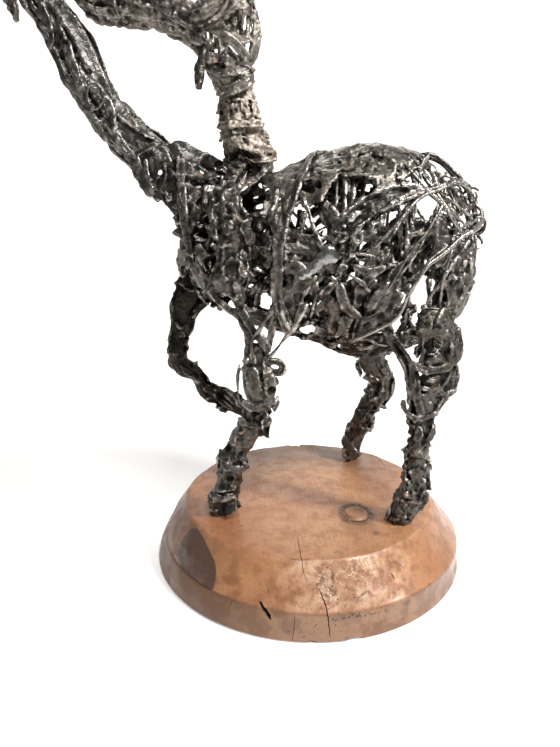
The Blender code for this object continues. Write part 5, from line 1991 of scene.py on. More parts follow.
def rider_seat() -> WeldedLimb:
    """The column that the rider sits on: plates and stubs thick with weld spatter."""
    rows = (
        (-49, 0, 336, 15, 17), (-50, 0, 346, 19, 21.5), (-54.5, 0, 357, 19, 19), (-55, 0, 370, 18.5, 17.8),
        (-57.5, 0, 379, 17, 16), (-59, 0, 388, 15, 14.8), (-60.5, 0, 396, 13.5, 13.5),
        (-61, 0, 404, 12.5, 12.5),
    )
    extras = (
        Strand((
            (-74, -10, 372), (-70, -16, 372), (-60, -20, 371.5), (-48, -19, 373), (-39, -12, 373.5),
        ), 3, 1.8, (0, -1, 0.3)),
        Strand((
            (-64, -20, 356), (-56, -22, 359), (-45, -21, 356), (-36, -16, 352), (-30, -10, 348),
        ), 5.5, 1.8, (0, -1, 0.1)),
        Strand((
            (-60, -21, 348), (-50, -24, 346), (-38, -21, 346), (-29, -14, 347.5),
        ), 3, 1.8, (0, -0.6, 0.8)),
        Strand(((-70, -13, 393), (-64, -16, 395.5), (-56, -16, 398.5), (-49, -12, 402)), 2.2, 1.5),
    )
    # The dents are darkened as painted shade; the four low ones paint the shade under the seat.
    dents = (
        Dent((-48.2, -18, 376.5), 3, 3.8), Dent((-51.8, -17, 386.8), 2.6, 2.4),
        Dent((-51.6, -22, 360), 2.6, 2.6), Dent((-58, -19, 341), 15, 6),
        Dent((-45, -19, 337), 11, 5), Dent((-44, -22, 349), 4.5, 3), Dent((-69, -16, 350), 6, 4),
    )
    return WeldedLimb(
        "rider_seat", rows, CRUSTED, 27, 0.92, strands=4, strand_width=(2, 4.4), strand_reach=(0.15, 0.3),
        twist=1.2, crags=60, crag_size=(1.2, 3.8), plates=34, plate_size=(4, 7.5), extras=extras,
        dents=dents, voxel=0.0007, beating=CRUST, slot="worn_iron",
    )


class Trunk(WeldedLimb):
    """The rider's trunk: straps wound round an open chest."""

    THROUGH = Openings((Opening(-64.8, 441.2, 3, 3),), 0.0)
    CHEST = Openings((Opening(-59, 443, 14, 6.2, -8), Opening(-53.5, 420, 3.6, 3)), -0.018)

    def clear(self, place: Vector) -> bool:
        """Says whether iron may lie at a place: the chest is open towards the left."""
        return self.THROUGH.clear(place, 0.0010) and (place.y > -0.004 or self.CHEST.clear(place, 0.0012))


def rider_trunk() -> WeldedLimb:
    """The trunk, with the strap that crosses the chest and the loop over the shoulder."""
    rows = (
        (-60.5, 0, 400, 13.5, 12.5), (-64, 0, 408, 16.5, 15.5), (-66.5, 0, 421, 19, 19),
        (-64.5, 0, 442, 21.5, 21.2), (-63, 0, 462, 24.5, 19), (-62, 0, 474, 26.5, 16.5),
        (-61, 0, 484, 19, 13), (-61, 0, 490, 11, 10), (-62, 0, 494.5, 10, 9.5),
    )
    left = (
        Strand((
            (-88, -16, 444), (-86.8, -20, 449), (-80, -23, 453.5), (-70, -24, 454.5), (-59, -24, 452.5),
            (-50, -21, 450), (-43, -14, 445),
        ), 4, 1.8, (0, -1, 0.3), (0.7, 0.6)),
        Strand((
            (-88, -18, 450), (-83, -23, 442.5), (-72.2, -25, 434.5), (-60.2, -25, 426.5), (-51, -21, 419.5),
            (-46, -14, 415),
        ), 3.4, 1.8, taper=(0.7, 0.6)),
        Strand((
            (-80, -21, 448), (-72.2, -23, 440.5), (-65.1, -23, 433.5), (-56, -22, 430), (-47, -17, 432),
        ), 4, 1.5, (0, -1, 0.4), (0.5, 0.6)),
        Strand((
            (-44, -14, 450), (-43, -16, 440), (-44, -16, 428), (-48, -14, 416),
        ), 3.8, 1.6, (0.7, -1, 0), (0.7, 0.7)),
        Strand(((-50, -16, 447), (-49, -17, 439), (-51, -17, 431)), 1.8, 1.4, (0.3, -1, 0)),
        Strand((
            (-85, -13, 433), (-85, -17, 425), (-80, -19, 419), (-70, -21, 418), (-60, -20, 415),
        ), 4, 1.8, (-0.2, -1, 0), (0.7, 0.6)),
        Strand((
            (-83, -12, 418), (-76, -16, 412), (-66, -18, 409.5), (-56, -17, 411), (-50, -13, 412),
        ), 4, 1.8, taper=(0.6, 0.6)),
        # The loop round the waist.
        Strand((
            (-45.5, -6, 405), (-47, -13, 403.5), (-51, -17, 399.5), (-57, -18, 396.5), (-65, -17, 394),
            (-71.5, -12, 390.5),
        ), 2.4, 1.8, (0, -1, 0.2), (0.8, 0.6)),
        Strand((
            (-72, -10, 396.5), (-65, -16, 398.5), (-57, -18, 401.5), (-50, -16, 405.5), (-45, -10, 407.5),
        ), 2.2, 1.6, taper=(0.6, 0.8)),
    )
    shoulders = (
        Strand((
            (-76, -20, 456), (-70, -24, 466), (-62, -26, 476), (-60, -20, 483),
        ), 4, 1.8, (-0.2, -1, 0.2)),
        Strand(((-78, -10, 460), (-76, -12, 470), (-70, -14, 480)), 4.5, 1.8, (-1, -0.3, 0)),
        Strand(((-48, -14, 455), (-46, -16, 466), (-50, -16, 478)), 4.5, 1.8, (1, -0.3, 0)),
    )
    mirrored = tuple(strand.mirrored() for strand in (left[1], left[5], left[6], *shoulders))
    return Trunk(
        "rider_trunk", rows, WORN, 29, 0.78, ((0.0, 0.26), (0.6, 1.0)), strands=44, strand_width=(1.6, 3.4),
        strand_reach=(0.2, 0.45), twist=1.6, crags=22, crag_size=(2, 4.4),
        extras=(*left, *shoulders, *mirrored), dents=(Dent((-68.2, -20, 414.5), 4, 3.4),), voxel=0.0008,
    )


def rider_arm(side: int) -> WeldedLimb:
    """An arm: smooth straps at the elbow, and brown iron crusted with lumps along its length."""
    rows = (
        (-60, 30, 476, 7.5, 9.5), (-62, 34.5, 464, 8, 9.5), (-70, 33, 450, 8.5, 9),
        (-86, 27, 443, 7.8, 7.8), (-108, 21.5, 448, 7.2, 7.2), (-126, 15.5, 454.5, 7.2, 7.4),
        (-142, 12.5, 459, 9.2, 11.2), (-158, 11.5, 462.5, 10.2, 13.5), (-172, 11, 469, 8.5, 11.5),
        (-179, 10.5, 473, 5, 7),
    )
    extras = (
        Strand((
            (-133, 21, 456), (-120, 24, 453), (-107.5, 28, 449), (-98, 30, 444), (-88.8, 31, 437),
            (-76, 31, 429),
        ), 3, 1.6, (0, 1, 0.2), (0.5, 0.4)),
        Strand((
            (-126, 20, 460), (-108.1, 26, 455), (-96.1, 30, 452.5), (-86, 31, 448),
        ), 2.8, 1.6, (0, 1, 0.6)),
        Strand((
            (-120.6, 21, 447.5), (-111.1, 24, 443.5), (-100.3, 26, 440.5), (-89.6, 28, 432),
            (-81.5, 28, 426.5),
        ), 3, 1.6, (0, 1, -0.4)),
        Strand((
            (-144.5, 19, 464), (-145.2, 23, 458), (-145, 22, 450), (-144, 18, 446),
        ), 1.6, 1.6, (0, 1, 0), (0.8, 0.8), stock=ROD),
        Strand(((-164, 19, 460), (-170, 19, 466), (-177, 15, 474)), 3, 1.8, (0, 1, 0)),
    )
    name = f"rider_arm_{SIDES[side]}"
    return WeldedLimb(
        name, rows, WORN, 33 + side, 0.82, strands=42, strand_width=(1.3, 2.8), crags=34,
        crag_size=(1.8, 4.6), extras=extras, voxel=0.0008, turned=side == LEFT,
        beating=Beating(((0.0050, 0.0007), (0.0024, 0.0004)), ((0.0060, 0.0010),)),
    )


def rider_leg(side: int) -> WeldedLimb:
    """A leg, which hangs down the horse's flank as a crumpled column."""
    rows = (
        (-58, 40, 340, 2, 2.6), (-62, 54, 328, 2.8, 4.4), (-66, 67, 315, 6.6, 10.5),
        (-62, 74, 298, 7.5, 12.2), (-60.5, 74.5, 280, 7, 11.8), (-63, 74, 262, 6.5, 11.5),
        (-67, 73, 251, 5.5, 12),
    )
    extras = (
        Strand(((-56, 30, 344), (-59, 46, 337), (-63, 56, 328), (-68, 64, 317)), 3, 1.7, (0, 1, 0.2)),
        Strand((
            (-34, 22, 344), (-43, 36, 333), (-53, 46, 326.2), (-63, 56, 318), (-70, 62, 311),
        ), 2.8, 1.7, (0, 1, 0.4)),
    )
    name = f"rider_leg_{SIDES[side]}"
    return WeldedLimb(
        name, rows, BLACKENED, 37 + side, 0.6, strands=16, strand_width=(2, 4.4), strand_lift=(-5, 1),
        crags=24, crag_size=(3, 7.5), plates=30, extras=extras, beating=FACETS,
        turned=side == LEFT,
    )


def hanging_drip() -> WeldedLimb:
    """The run of weld metal that hangs off the rider's elbow."""
    rows = (
        (-82, -19, 426, 3.4, 3.6), (-84.2, -21.5, 415, 3.2, 3.6), (-85.5, -22.5, 407, 3.6, 4.6),
        (-85.5, -23, 400, 2.8, 3), (-85.8, -23, 396.2, 2.4, 2.6),
    )
    return WeldedLimb(
        "hanging_drip", rows, BLACKENED, 41, 0.92, strands=4, strand_width=(1, 1.8), crags=5,
        crag_size=(1.6, 3), voxel=0.0007, beating=FLOWING,
    )


@dataclass
class Helmet:
    """The knight's plain closed helmet: a raised bowl with a comb, a brow ridge and one sight slot."""

    finish: IronFinish
    rows: Sequence[Row] = (
        (-62, 0, 494.3, 15, 14.5), (-63, 0, 499, 13.2, 13.8), (-64, 0, 509, 13.8, 16.2),
        (-64, 0, 520, 14.6, 17.4), (-63.5, 0, 529, 14.4, 17.2), (-62, 0, 539, 11.5, 14.5),
        (-60.5, 0, 545, 6, 9), (-60, 0, 547.5, 1, 2),
    )
    slot_height: float = 0.5215
    slot_half: float = 0.0011
    slot_end: float = -0.0700
    rivet_radius: float = 0.0010

    def keeps(self, place: Vector) -> bool:
        """Says whether there is metal at a place: not in the sight slot."""
        return abs(place.z - self.slot_height) >= self.slot_half or place.x >= self.slot_end

    def build(self) -> bpy.types.Object:
        """Makes the helmet.

        Returns:
            The finished piece.
        """
        form = Limb(self.rows, 2.1)
        beating = Beating(((0.006, 0.0003),), ((0.009, 0.0002),))
        name = "rider_helmet"
        weld = Weldment(name, self.finish, 43, 0.0006, beating, ((0.02, 0.0003),), (name,))
        weld.add(beaten_sheet(lambda u, v: form.skin(u, 2 * pi * v, 0.0), (60, 84), 0.0015, self.keeps))
        weld.add(form.core(0.70, 12, 0.0, 0.35))
        comb = (
            (-79.5, 0, 529), (-75.5, 0, 540.5), (-66, 0, 546.5), (-58, 0, 547), (-49, 0, 540),
            (-45.5, 0, 529), (-46.5, 0, 515),
        )
        weld.add(Strand(comb, 1.1, 1.3, stock=STRAP).made())
        for side in (LEFT, RIGHT):
            bearings = (pi, 2.6, 2.1, 1.6, 1.1)
            brow = tuple((-64 + 18.6 * cos(a), side * 15.6 * sin(a), 524.1 + 1.2 * cos(a)) for a in bearings)
            weld.add(Strand(brow, 1, 1, (0, 0, 1), stock=ROD).made())
            for turn in (2.5, 1.9, 1.2, 0.6):
                place = form.skin(0.22, turn * side, 0.0004)[0]
                rivet = bmesh.new()
                bmesh.ops.create_icosphere(rivet, subdivisions=2, radius=self.rivet_radius)
                bmesh.ops.translate(rivet, vec=place, verts=rivet.verts)
                weld.add(rivet)
        return weld.finished()


# ---------------------------------------------------------------- the plinth


@dataclass(frozen=True)
class OldWood:
    """The plinth's oiled wood: tan under a worn lacquer, stained, mottled and crackled, with painted shade
    on the top's left and back, on the sides of the bevel and rim, and in pits and cracks, and a pale edge
    that is partly painted highlight.
    """

    tan: Colour = (0.435, 0.214, 0.101)
    amber: Colour = (0.37, 0.165, 0.072)
    red: Colour = (0.30, 0.115, 0.048)
    grey: Colour = (0.225, 0.128, 0.074)
    brown: Colour = (0.150, 0.068, 0.034)
    pale: Colour = (0.66, 0.47, 0.33)
    stain: Colour = (0.052, 0.026, 0.020)
    # Near black: painted shade in pinholes and inside cracks and chips.
    pit_and_crack_shade: Colour = (0.022, 0.014, 0.010)

    def material(self) -> bpy.types.Material:
        """Builds the wood."""
        made, net, shader = new_material("Oiled wood")
        where = net.where()
        top, rim, edge, back, left, shade = map(net.mark, ("top", "rim", "edge", "back", "left", "shade"))
        halo, patch, scuff, knot, worm = map(net.mark, ("halo", "patch", "scuff", "knot", "worm"))
        stain = net.mark("stain")
        blotch = net.noise(where, 24.0, 4.0, 0.3)
        mottle = net.noise(where, 75.0, 5.0, 0.2)
        peel = net.noise(where, 190.0, 3.0, 0.4)
        speck = net.noise(where, 420.0)
        fibre = net.noise(net.stretched(where, (1.0, 0.09, 0.3)), 620.0, 3.0, 0.3)
        # Growth rings bend round the knot.
        centred = {0: net.stretched(where, (1.0, 1.35, 0.6), (0, 0, 0.25)), 1: (0.050, -0.044, 0.0)}
        waves = {"Scale": 62.0, "Distortion": 12.0, "Detail": 4.0, "Detail Scale": 0.9}
        waves["Vector"] = net.value("VectorMath", centred, operation="SUBTRACT")
        rings = net.value("TexWave", waves, "Fac", wave_type="RINGS", rings_direction="Z")
        cells = {"Vector": net.warped(where, 160.0, 0.006), "Scale": 360.0}
        crazed = net.value("TexVoronoi", cells, "Distance", feature="DISTANCE_TO_EDGE").ramp(0.20, 0.03)
        flaked = patch * mottle.ramp(0.40, 0.56)
        holes = (speck - worm * 0.16).ramp(0.35, 0.29)
        dots = net.math("MAXIMUM", holes * blotch.ramp(0.42, 0.6), holes * worm)
        tan = net.blend(blotch.ramp(0.32, 0.60), self.amber, self.tan)
        side = net.blend(mottle.ramp(0.36, 0.62), self.red, self.tan)
        side = net.blend(blotch.ramp(0.34, 0.60), side, self.amber)
        base = net.blend(top, side, tan)
        layers = (
            # Painted shadow: the top's left, round the left foreleg, is reddened and darkened.
            (left * (mottle * 0.8 + 0.35), self.red),
            # Painted shade: the back of the top, where the figure's shadow falls, is greyed and darkened.
            (back * (mottle * 0.7 + 0.50), self.grey),
            (rim * 0.70, self.grey),
            (rim * mottle.ramp(0.56, 0.40) * 0.45, self.brown),
            (mottle.ramp(0.54, 0.36) * 0.30, self.brown),
            (peel.ramp(0.46, 0.30) * 0.22, self.brown),
            (fibre.ramp(0.56, 0.34) * top * 0.22, self.brown),
            (rings.ramp(0.30, 0.95) * (knot * 0.20), self.brown),
            # The knot's plug in its own darker colour, and painted shade on the right and the left of the
            # bevel and rim.
            (shade * 0.86, self.brown),
            (scuff * (mottle.ramp(0.44, 0.60) + peel.ramp(0.46, 0.60) * 0.6) * 0.34, self.pale),
            (scuff * (peel.ramp(0.47, 0.34) * 0.40), self.brown),
            (flaked * (peel.ramp(0.48, 0.62) * 0.75), self.pale),
            (flaked * (peel.ramp(0.50, 0.36) * 0.85), self.stain),
            (flaked * (crazed * 0.5), self.brown),
            ((halo + (mottle - 0.5) * 0.9).ramp(0.25, 0.80) * 0.72, self.stain),
            ((stain + (mottle - 0.5) * 0.25).ramp(0.47, 0.54) * 0.84, self.stain),
            # A pale line along the top's edge and the ridge: worn varnish, partly painted highlight.
            (edge * mottle.ramp(0.42, 0.62) * 0.10, self.pale),
            # Painted shade in the pinholes.
            (dots * 0.8, self.pit_and_crack_shade),
        )
        for share, tint in layers:
            base = net.blend(share, base, tint)
        lacquer = (1.0 - top) * blotch.ramp(0.35, 0.6) * net.math("SUBTRACT", 1.0, shade, clamp=True)
        height = fibre * top * 0.16 + mottle * 0.45 + peel * (0.75 - top * 0.5) + peel * flaked * 0.9
        height = height - crazed * (flaked * 0.5) - dots * 0.6
        feeds = {
            "Base Color": base,
            "Roughness": 0.52 - mottle.ramp(0.40, 0.62) * 0.16 - flaked * 0.20 + top * 0.06,
            "Coat Weight": lacquer * 0.55 + 0.08,
            "Coat Roughness": 0.22,
            "Normal": net.bump(height, 0.6, 0.0011),
        }
        net.feed(shader, feeds)
        return made

    def inside(self) -> bpy.types.Material:
        """Builds the wood inside cracks and chips, darkened as painted shade."""
        made, net, shader = new_material("Wood inside cracks")
        share = net.noise(net.stretched(net.where(), (0.2, 1.0, 1.0)), 500.0, 4.0).ramp(0.35, 0.70)
        colour = net.blend(share, self.pit_and_crack_shade, (0.12, 0.07, 0.04))
        net.feed(shader, {"Base Color": colour, "Roughness": share * 0.15 + 0.75})
        return made


@dataclass(frozen=True)
class Crack:
    """A crack in the wood: the places it runs through, half its gap and its depth."""

    points: tuple[Point, ...]
    half_gap: float
    depth: float = 4.0


@dataclass
class Plinth:
    """The turned wooden plinth: a leaning rim, a broad bevel and a flat top, cracked and chipped."""

    wood: OldWood
    height: float = 0.054
    rim_height: float = 0.0225
    base_radius: float = 0.140
    ridge_radius: float = 0.135
    top_radius: float = 0.1122
    ease: float = 0.0016
    ridge_offset: float = 0.003
    turns: int = 300
    knot: Point = (0.0403, -0.0430, 0.054)
    knot_size: Spot = (0.0112, 0.0138)
    cracks: tuple[Crack, ...] = (
        Crack((
            (-11.8, -80, 54), (-11.4, -85.4, 54), (-9.6, -111, 54), (-8.4, -116.5, 47.3),
            (-5.5, -122, 40.2),
        ), 0.24),
        Crack((
            (3.2, -124.6, 36.7), (5.9, -128.2, 31.6), (8.5, -132.2, 26), (9.9, -135.7, 17.8),
            (11.6, -138.4, 4.6),
        ), 0.46, 7),
        Crack(((-15.1, -133.7, 21.7), (-15.6, -136.3, 11.7), (-16.9, -139, 1)), 0.22),
        Crack(((77, 78, 54), (80.3, 67.1, 54), (83, 51.9, 54)), 0.3),
        Crack(((58.9, -103.3, 45.1), (66.4, -100.4, 43.1), (72.5, -101.1, 38)), 0.16, 2),
        Crack(((-64.6, -120.4, 11.4), (-64.2, -118.5, 17.8), (-60.3, -119, 22.6)), 0.14, 2),
        Crack(((-38.2, -116.5, 38.6), (-35.3, -120.3, 34.7), (-33.8, -123.4, 31.4)), 0.14, 2),
        Crack(((60.4, -107.6, 39.1), (62.2, -109, 36.6), (64.1, -110.1, 34.1)), 0.4, 1.6),
        Crack((
            (-41.5, -125, 25.5), (-39.4, -127.3, 23.3), (-37.1, -129.3, 21.1), (-34.8, -130.7, 18.3),
            (-32.6, -132, 15.5),
        ), 1.6, 6),
    )
    cross_cracks: tuple[Crack, ...] = (
        Crack(((-18.2, -111.1, 53.5), (-10.6, -112.2, 53.1), (-3, -112.3, 53.6)), 0.18, 3),
    )
    # Lumps knocked out of the edges: the middle, half sizes and bearing of each.
    chips: tuple[tuple[Point, Point, float], ...] = (
        ((-8.5, 113.5, 55.2), (9.5, 8.5, 4.6), 0), ((5, 113, 55.2), (2.2, 4, 2.6), 0),
        ((31, -138.5, -0.5), (13, 9.5, 6.6), 0.22), ((20, -140, 0), (6, 4, 2.2), 0.15),
        ((-3, -141.5, 0), (6.5, 6, 4.4), 0), ((-90, -108, 0), (5, 3.8, 2), -0.9),
        ((86, -111, 0), (6, 3.8, 1.8), 0.9),
    )
    # Outline of the stain on the bevel: bearing and height.
    stain: Sequence[Spot] = (
        (-146.8, 51.3), (-140.3, 49.1), (-134.2, 44.5), (-129.7, 40.6), (-127.3, 35.4), (-126.3, 29.4),
        (-126.4, 22), (-128.5, 21.2), (-145.9, 21.3), (-152, 25), (-152, 40), (-150.5, 48.7),
    )

    def wall(self) -> list[Spot]:
        """Fine points along the profile, from the foot of the rim up to the middle of the top."""
        ease = self.ease
        corners = (
            (0.0, 0.0), (self.base_radius - ease, 0.0), (self.base_radius, ease),
            (self.ridge_radius + ease / 3, self.rim_height - ease),
            (self.ridge_radius - ease / 4, self.rim_height),
            (self.ridge_radius - ease, self.rim_height + ease),
            (self.top_radius + ease, self.height - ease * 1.1),
            (self.top_radius + 0.2 * ease, self.height - 0.25 * ease),
            (self.top_radius - ease, self.height), (0.0, self.height),
        )
        counts = (6, 1, 14, 2, 2, 25, 2, 2, 60)
        points = [corners[0]]
        for start, end, count in zip(corners, corners[1:], counts):
            for step in range(1, count + 1):
                points.append(tuple(a + (b - a) * step / count for a, b in zip(start, end)))
        return points

    def from_knot(self, x: np.ndarray | float, y: np.ndarray | float) -> np.ndarray | float:
        """How far spots on the top are from the knot's middle: 1 at its rim."""
        return np.hypot((x - self.knot[0]) / self.knot_size[0], (y - self.knot[1]) / self.knot_size[1])

    def turned(self) -> bpy.types.Object:
        """Spins the profile and works the surface by hand."""
        builder = bmesh.new()
        outline = [builder.verts.new((radius, 0, z)) for radius, z in self.wall()]
        edges = [builder.edges.new(pair) for pair in zip(outline, outline[1:])]
        turn = {"cent": (0, 0, 0), "axis": (0, 0, 1), "angle": 2 * pi, "steps": self.turns}
        bmesh.ops.spin(builder, geom=outline + edges, use_merge=True, **turn)
        bmesh.ops.remove_doubles(builder, verts=builder.verts, dist=1e-5)
        on_top = [vertex for vertex in builder.verts if vertex.co.z > self.height - 1e-4]
        near = {vertex for vertex in on_top if self.from_knot(vertex.co.x, vertex.co.y) < 1.6}
        edges = [edge for edge in builder.edges if near.issuperset(edge.verts)]
        bmesh.ops.subdivide_edges(builder, edges=edges, cuts=2, use_grid_fill=True)
        bmesh.ops.recalc_face_normals(builder, faces=builder.faces)
        mesh = mesh_from(builder, "plinth")
        places, directions, _ = read_mesh(mesh)
        near_ridge = np.clip(1 - np.abs(places[:, 2] - self.rim_height) / 0.012, 0, 1)
        places[:, 0] += self.ridge_offset * near_ridge
        hand = ((0.00045, 0.034, 2), (0.00022, 0.012, 3), (0.00008, 0.004, 4))
        worked = sum(height * swirl(places, size, seed) for height, size, seed in hand)
        worked *= np.clip(places[:, 2] / 0.004, 0, 1)
        around = places * np.array((1.0, 1.0, 0.2))
        near_top = np.exp(-((np.hypot(places[:, 0], places[:, 1]) - self.top_radius) / 0.0035) ** 2)
        worn = 0.0005 * swirl(around, 0.012, 7) * (near_top * (places[:, 2] > 0.045) + near_ridge**6)
        near = self.from_knot(places[:, 0], places[:, 1])
        plug = 0.0019 * np.clip((0.90 - near) / 0.14, 0, 1) * (1 + 0.25 * swirl(places, 0.006, 8))
        bark = np.exp(-(((near - 1.16) / 0.17) ** 2)) * (0.0007 + 0.0011 * swirl(places, 0.0026, 9))
        knotted = (plug + bark) * (places[:, 2] > self.height - 1e-4)
        write_places(mesh, places + directions * (worked + worn + knotted - 0.0003)[:, None])
        return place_piece("plinth", mesh)

    def normal_at(self, place: Vector) -> Vector:
        """The outward direction of the wood at a place on its surface."""
        radial = Vector((place.x, place.y, 0)).normalized()
        if place.z > self.height - 0.0004:
            return UP.copy()
        lean = 0.22 if place.z < self.rim_height else 0.72
        return (radial + UP * lean).normalized()

    def crack_cutter(self, crack: Crack, dice: Random) -> bmesh.types.BMesh:
        """A thin jagged blade that opens a crack."""
        steps = max(6, round(length_of(crack.points) / 1.6))
        depth, half_gap = metres((crack.depth, crack.half_gap))
        places = []
        for x, y, z in map(metres, spaced(crack.points, steps)):
            shake = [dice.uniform(-1, 1) * 0.00035 for _ in range(2)]
            places.append(Vector((x + shake[0], y, z + shake[1] * (z < self.height - 0.001))))
        # One facing for the whole blade keeps it from crossing itself where the crack turns sharply.
        facing = sum((self.normal_at(place) for place in places), Vector()).normalized()
        stations = []
        for index, place in enumerate(places):
            ahead = (places[min(index + 1, steps)] - places[max(index - 1, 0)]).normalized()
            open_share = 0.25 + 0.75 * sqrt(sin(pi * index / steps) + 1e-6) * dice.uniform(0.7, 1.2)
            sideways = facing.cross(ahead).normalized()
            stations.append(Station(place, facing, sideways, depth * open_share, half_gap * open_share))
        return sweep(stations, STRAP.value)

    def ring_cutter(self, dice: Random) -> bmesh.types.BMesh:
        """The crevice round the knot, wider towards the front."""
        stations = []
        for step in range(48):
            turn = 2 * pi * step / 48
            shake = 1 + 0.03 * sin(5 * turn) + dice.uniform(-0.012, 0.012)
            x = self.knot[0] + self.knot_size[0] * cos(turn) * shake
            y = self.knot[1] + self.knot_size[1] * sin(turn) * shake
            half_gap = 0.00012 + 0.00085 * max(0.0, -sin(turn + 0.25)) ** 2
            outward = Vector((cos(turn), sin(turn), 0))
            stations.append(Station(Vector((x, y, self.height)), UP, outward, 0.0022, half_gap))
        stations.append(stations[0])
        return sweep(stations, STRAP.value)

    def cut(self, piece: bpy.types.Object, cutter: bmesh.types.BMesh, inside: bpy.types.Material) -> None:
        """Cuts a shape out of the plinth and lines the cut with wood darkened as painted shade."""
        bmesh.ops.recalc_face_normals(cutter, faces=cutter.faces)
        mesh = mesh_from(cutter, "cutter")
        mesh.materials.append(inside)
        tool = place_piece("cutter", mesh)
        cut = piece.modifiers.new("Cut", "BOOLEAN")
        cut.object, cut.operation, cut.solver, cut.material_mode = tool, "DIFFERENCE", "EXACT", "TRANSFER"
        settle(piece)
        bpy.data.objects.remove(tool)
        bpy.data.meshes.remove(mesh)

    def mark(self, mesh: bpy.types.Mesh) -> None:
        """Writes the wood's masks: top, rim, edge, stain, halo and rings of the knot, crackled patch, and
        the painted shade on the top and bevel.
        """
        places = read_mesh(mesh)[0]
        x, y, z = places.T
        radius = np.hypot(x, y)
        bearing = np.degrees(np.arctan2(y, x))
        near = self.from_knot(x, y)
        ahead = np.hypot((x - 0.041) / 0.019, (y + 0.056) / 0.024)
        dot_on_rim = np.hypot(x - 0.0724, z - 0.0185) / 0.0034 + (y > 0)
        small = np.minimum(np.hypot(x - 0.053, y + 0.074) / 0.0050, dot_on_rim)
        halo = np.exp(-((near / 1.55) ** 6)) * (0.15 + 0.85 * np.clip((near - 0.85) * 5, 0, 1))
        halo = np.maximum(halo, 0.50 * np.exp(-(ahead**4)) * (near > 0.9))
        on_top = np.clip((z - self.height + 0.0022) / 0.0012, 0, 1)
        around, up = np.radians(bearing) * 0.115, z * 1.25
        corners = [(radians(angle) * 0.115, height * MM * 1.25) for angle, height in self.stain]
        distance = np.full(len(places), 1.0)
        within = np.zeros(len(places), dtype=bool)
        for (a0, b0), (a1, b1) in zip(corners, corners[1:] + corners[:1]):
            run, rise = a1 - a0, b1 - b0
            share = np.clip(((around - a0) * run + (up - b0) * rise) / (run**2 + rise**2), 0, 1)
            distance = np.minimum(distance, np.hypot(around - a0 - share * run, up - b0 - share * rise))
            within ^= ((b0 > up) != (b1 > up)) & (around < a0 + run * (up - b0) / (rise or 1e-9))
        stained = 0.5 + np.where(within, distance, -distance) / 0.008
        side = np.clip((z - self.rim_height) / 0.001, 0, 1) * (1 - on_top)
        patch = np.exp(-(((x - 0.024) / 0.021) ** 4) - ((z - 0.040) / 0.011) ** 4) * side * (y < 0)
        values = {
            "top": on_top,
            "rim": np.clip((self.rim_height + 0.0006 - z) / 0.0012, 0, 1),
            "stain": stained * (z > self.rim_height - 0.0015),
            # The knot's plug, in its own darker colour, and painted shade on the right and the left of the
            # bevel and rim.
            "shade": 0.45 * np.exp(-((near / 0.85) ** 8)) * on_top
            + 0.30 * np.clip((bearing + 48) / 22, 0, 1) * (np.abs(bearing) < 90) * (1 - on_top)
            + np.clip((-bearing - np.where(z > self.rim_height, 138, 104)) / 20, 0, 1) * (1 - on_top),
            # Painted shade on the back of the top, where the figure's shadow falls.
            "back": np.clip((y - 0.030) / 0.050, 0, 1) * on_top,
            # Painted shadow on the top's left, round the left foreleg.
            "left": np.clip((-x - 0.020) / 0.045, 0, 1) * np.clip((0.03 - y) / 0.04, 0, 1) * on_top,
            "worm": np.exp(-(((x - 0.034) / 0.026) ** 4) - ((z - 0.0188) / 0.0026) ** 4) * (y < 0),
            "halo": np.maximum(halo * on_top, 0.8 * np.exp(-(small**2))),
            "knot": np.exp(-((near / 4.2) ** 2)) * on_top,
            "patch": patch,
            "scuff": np.exp(-(((x - 0.026) / 0.050) ** 4)) * side * (y < 0),
            # A pale line along the top's edge and the ridge: worn varnish, partly painted highlight.
            "edge": np.exp(-((radius - self.top_radius - 0.0004) / 0.0011) ** 2) * (z > 0.05)
            + 0.8 * np.exp(-((z - self.rim_height - 0.0004) / 0.0010) ** 2) * (radius > 0.12),
        }
        for name, value in values.items():
            write_mark(mesh, name, value)

    def build(self) -> bpy.types.Object:
        """Makes the plinth.

        Returns:
            The finished piece.
        """
        dice = Random(51)
        piece = self.turned()
        piece.data.materials.append(self.wood.material())
        inside = self.wood.inside()
        for crack in (*self.cracks, *self.cross_cracks):
            self.cut(piece, self.crack_cutter(crack, dice), inside)
        for middle, size, bearing in self.chips:
            turn = Matrix.Rotation(bearing, 4, "Z")
            self.cut(piece, crag(Vector(metres(middle)), metres(size), dice, turn), inside)
        self.cut(piece, self.ring_cutter(dice), inside)
        self.mark(piece.data)
        piece.data.shade_smooth()
        piece.data.set_sharp_from_angle(angle=radians(38))
        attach(piece, "root")
        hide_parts("plinth")
        log.info("plinth: %d polygons", len(piece.data.polygons))
        return piece


# ---------------------------------------------------------------- the studio


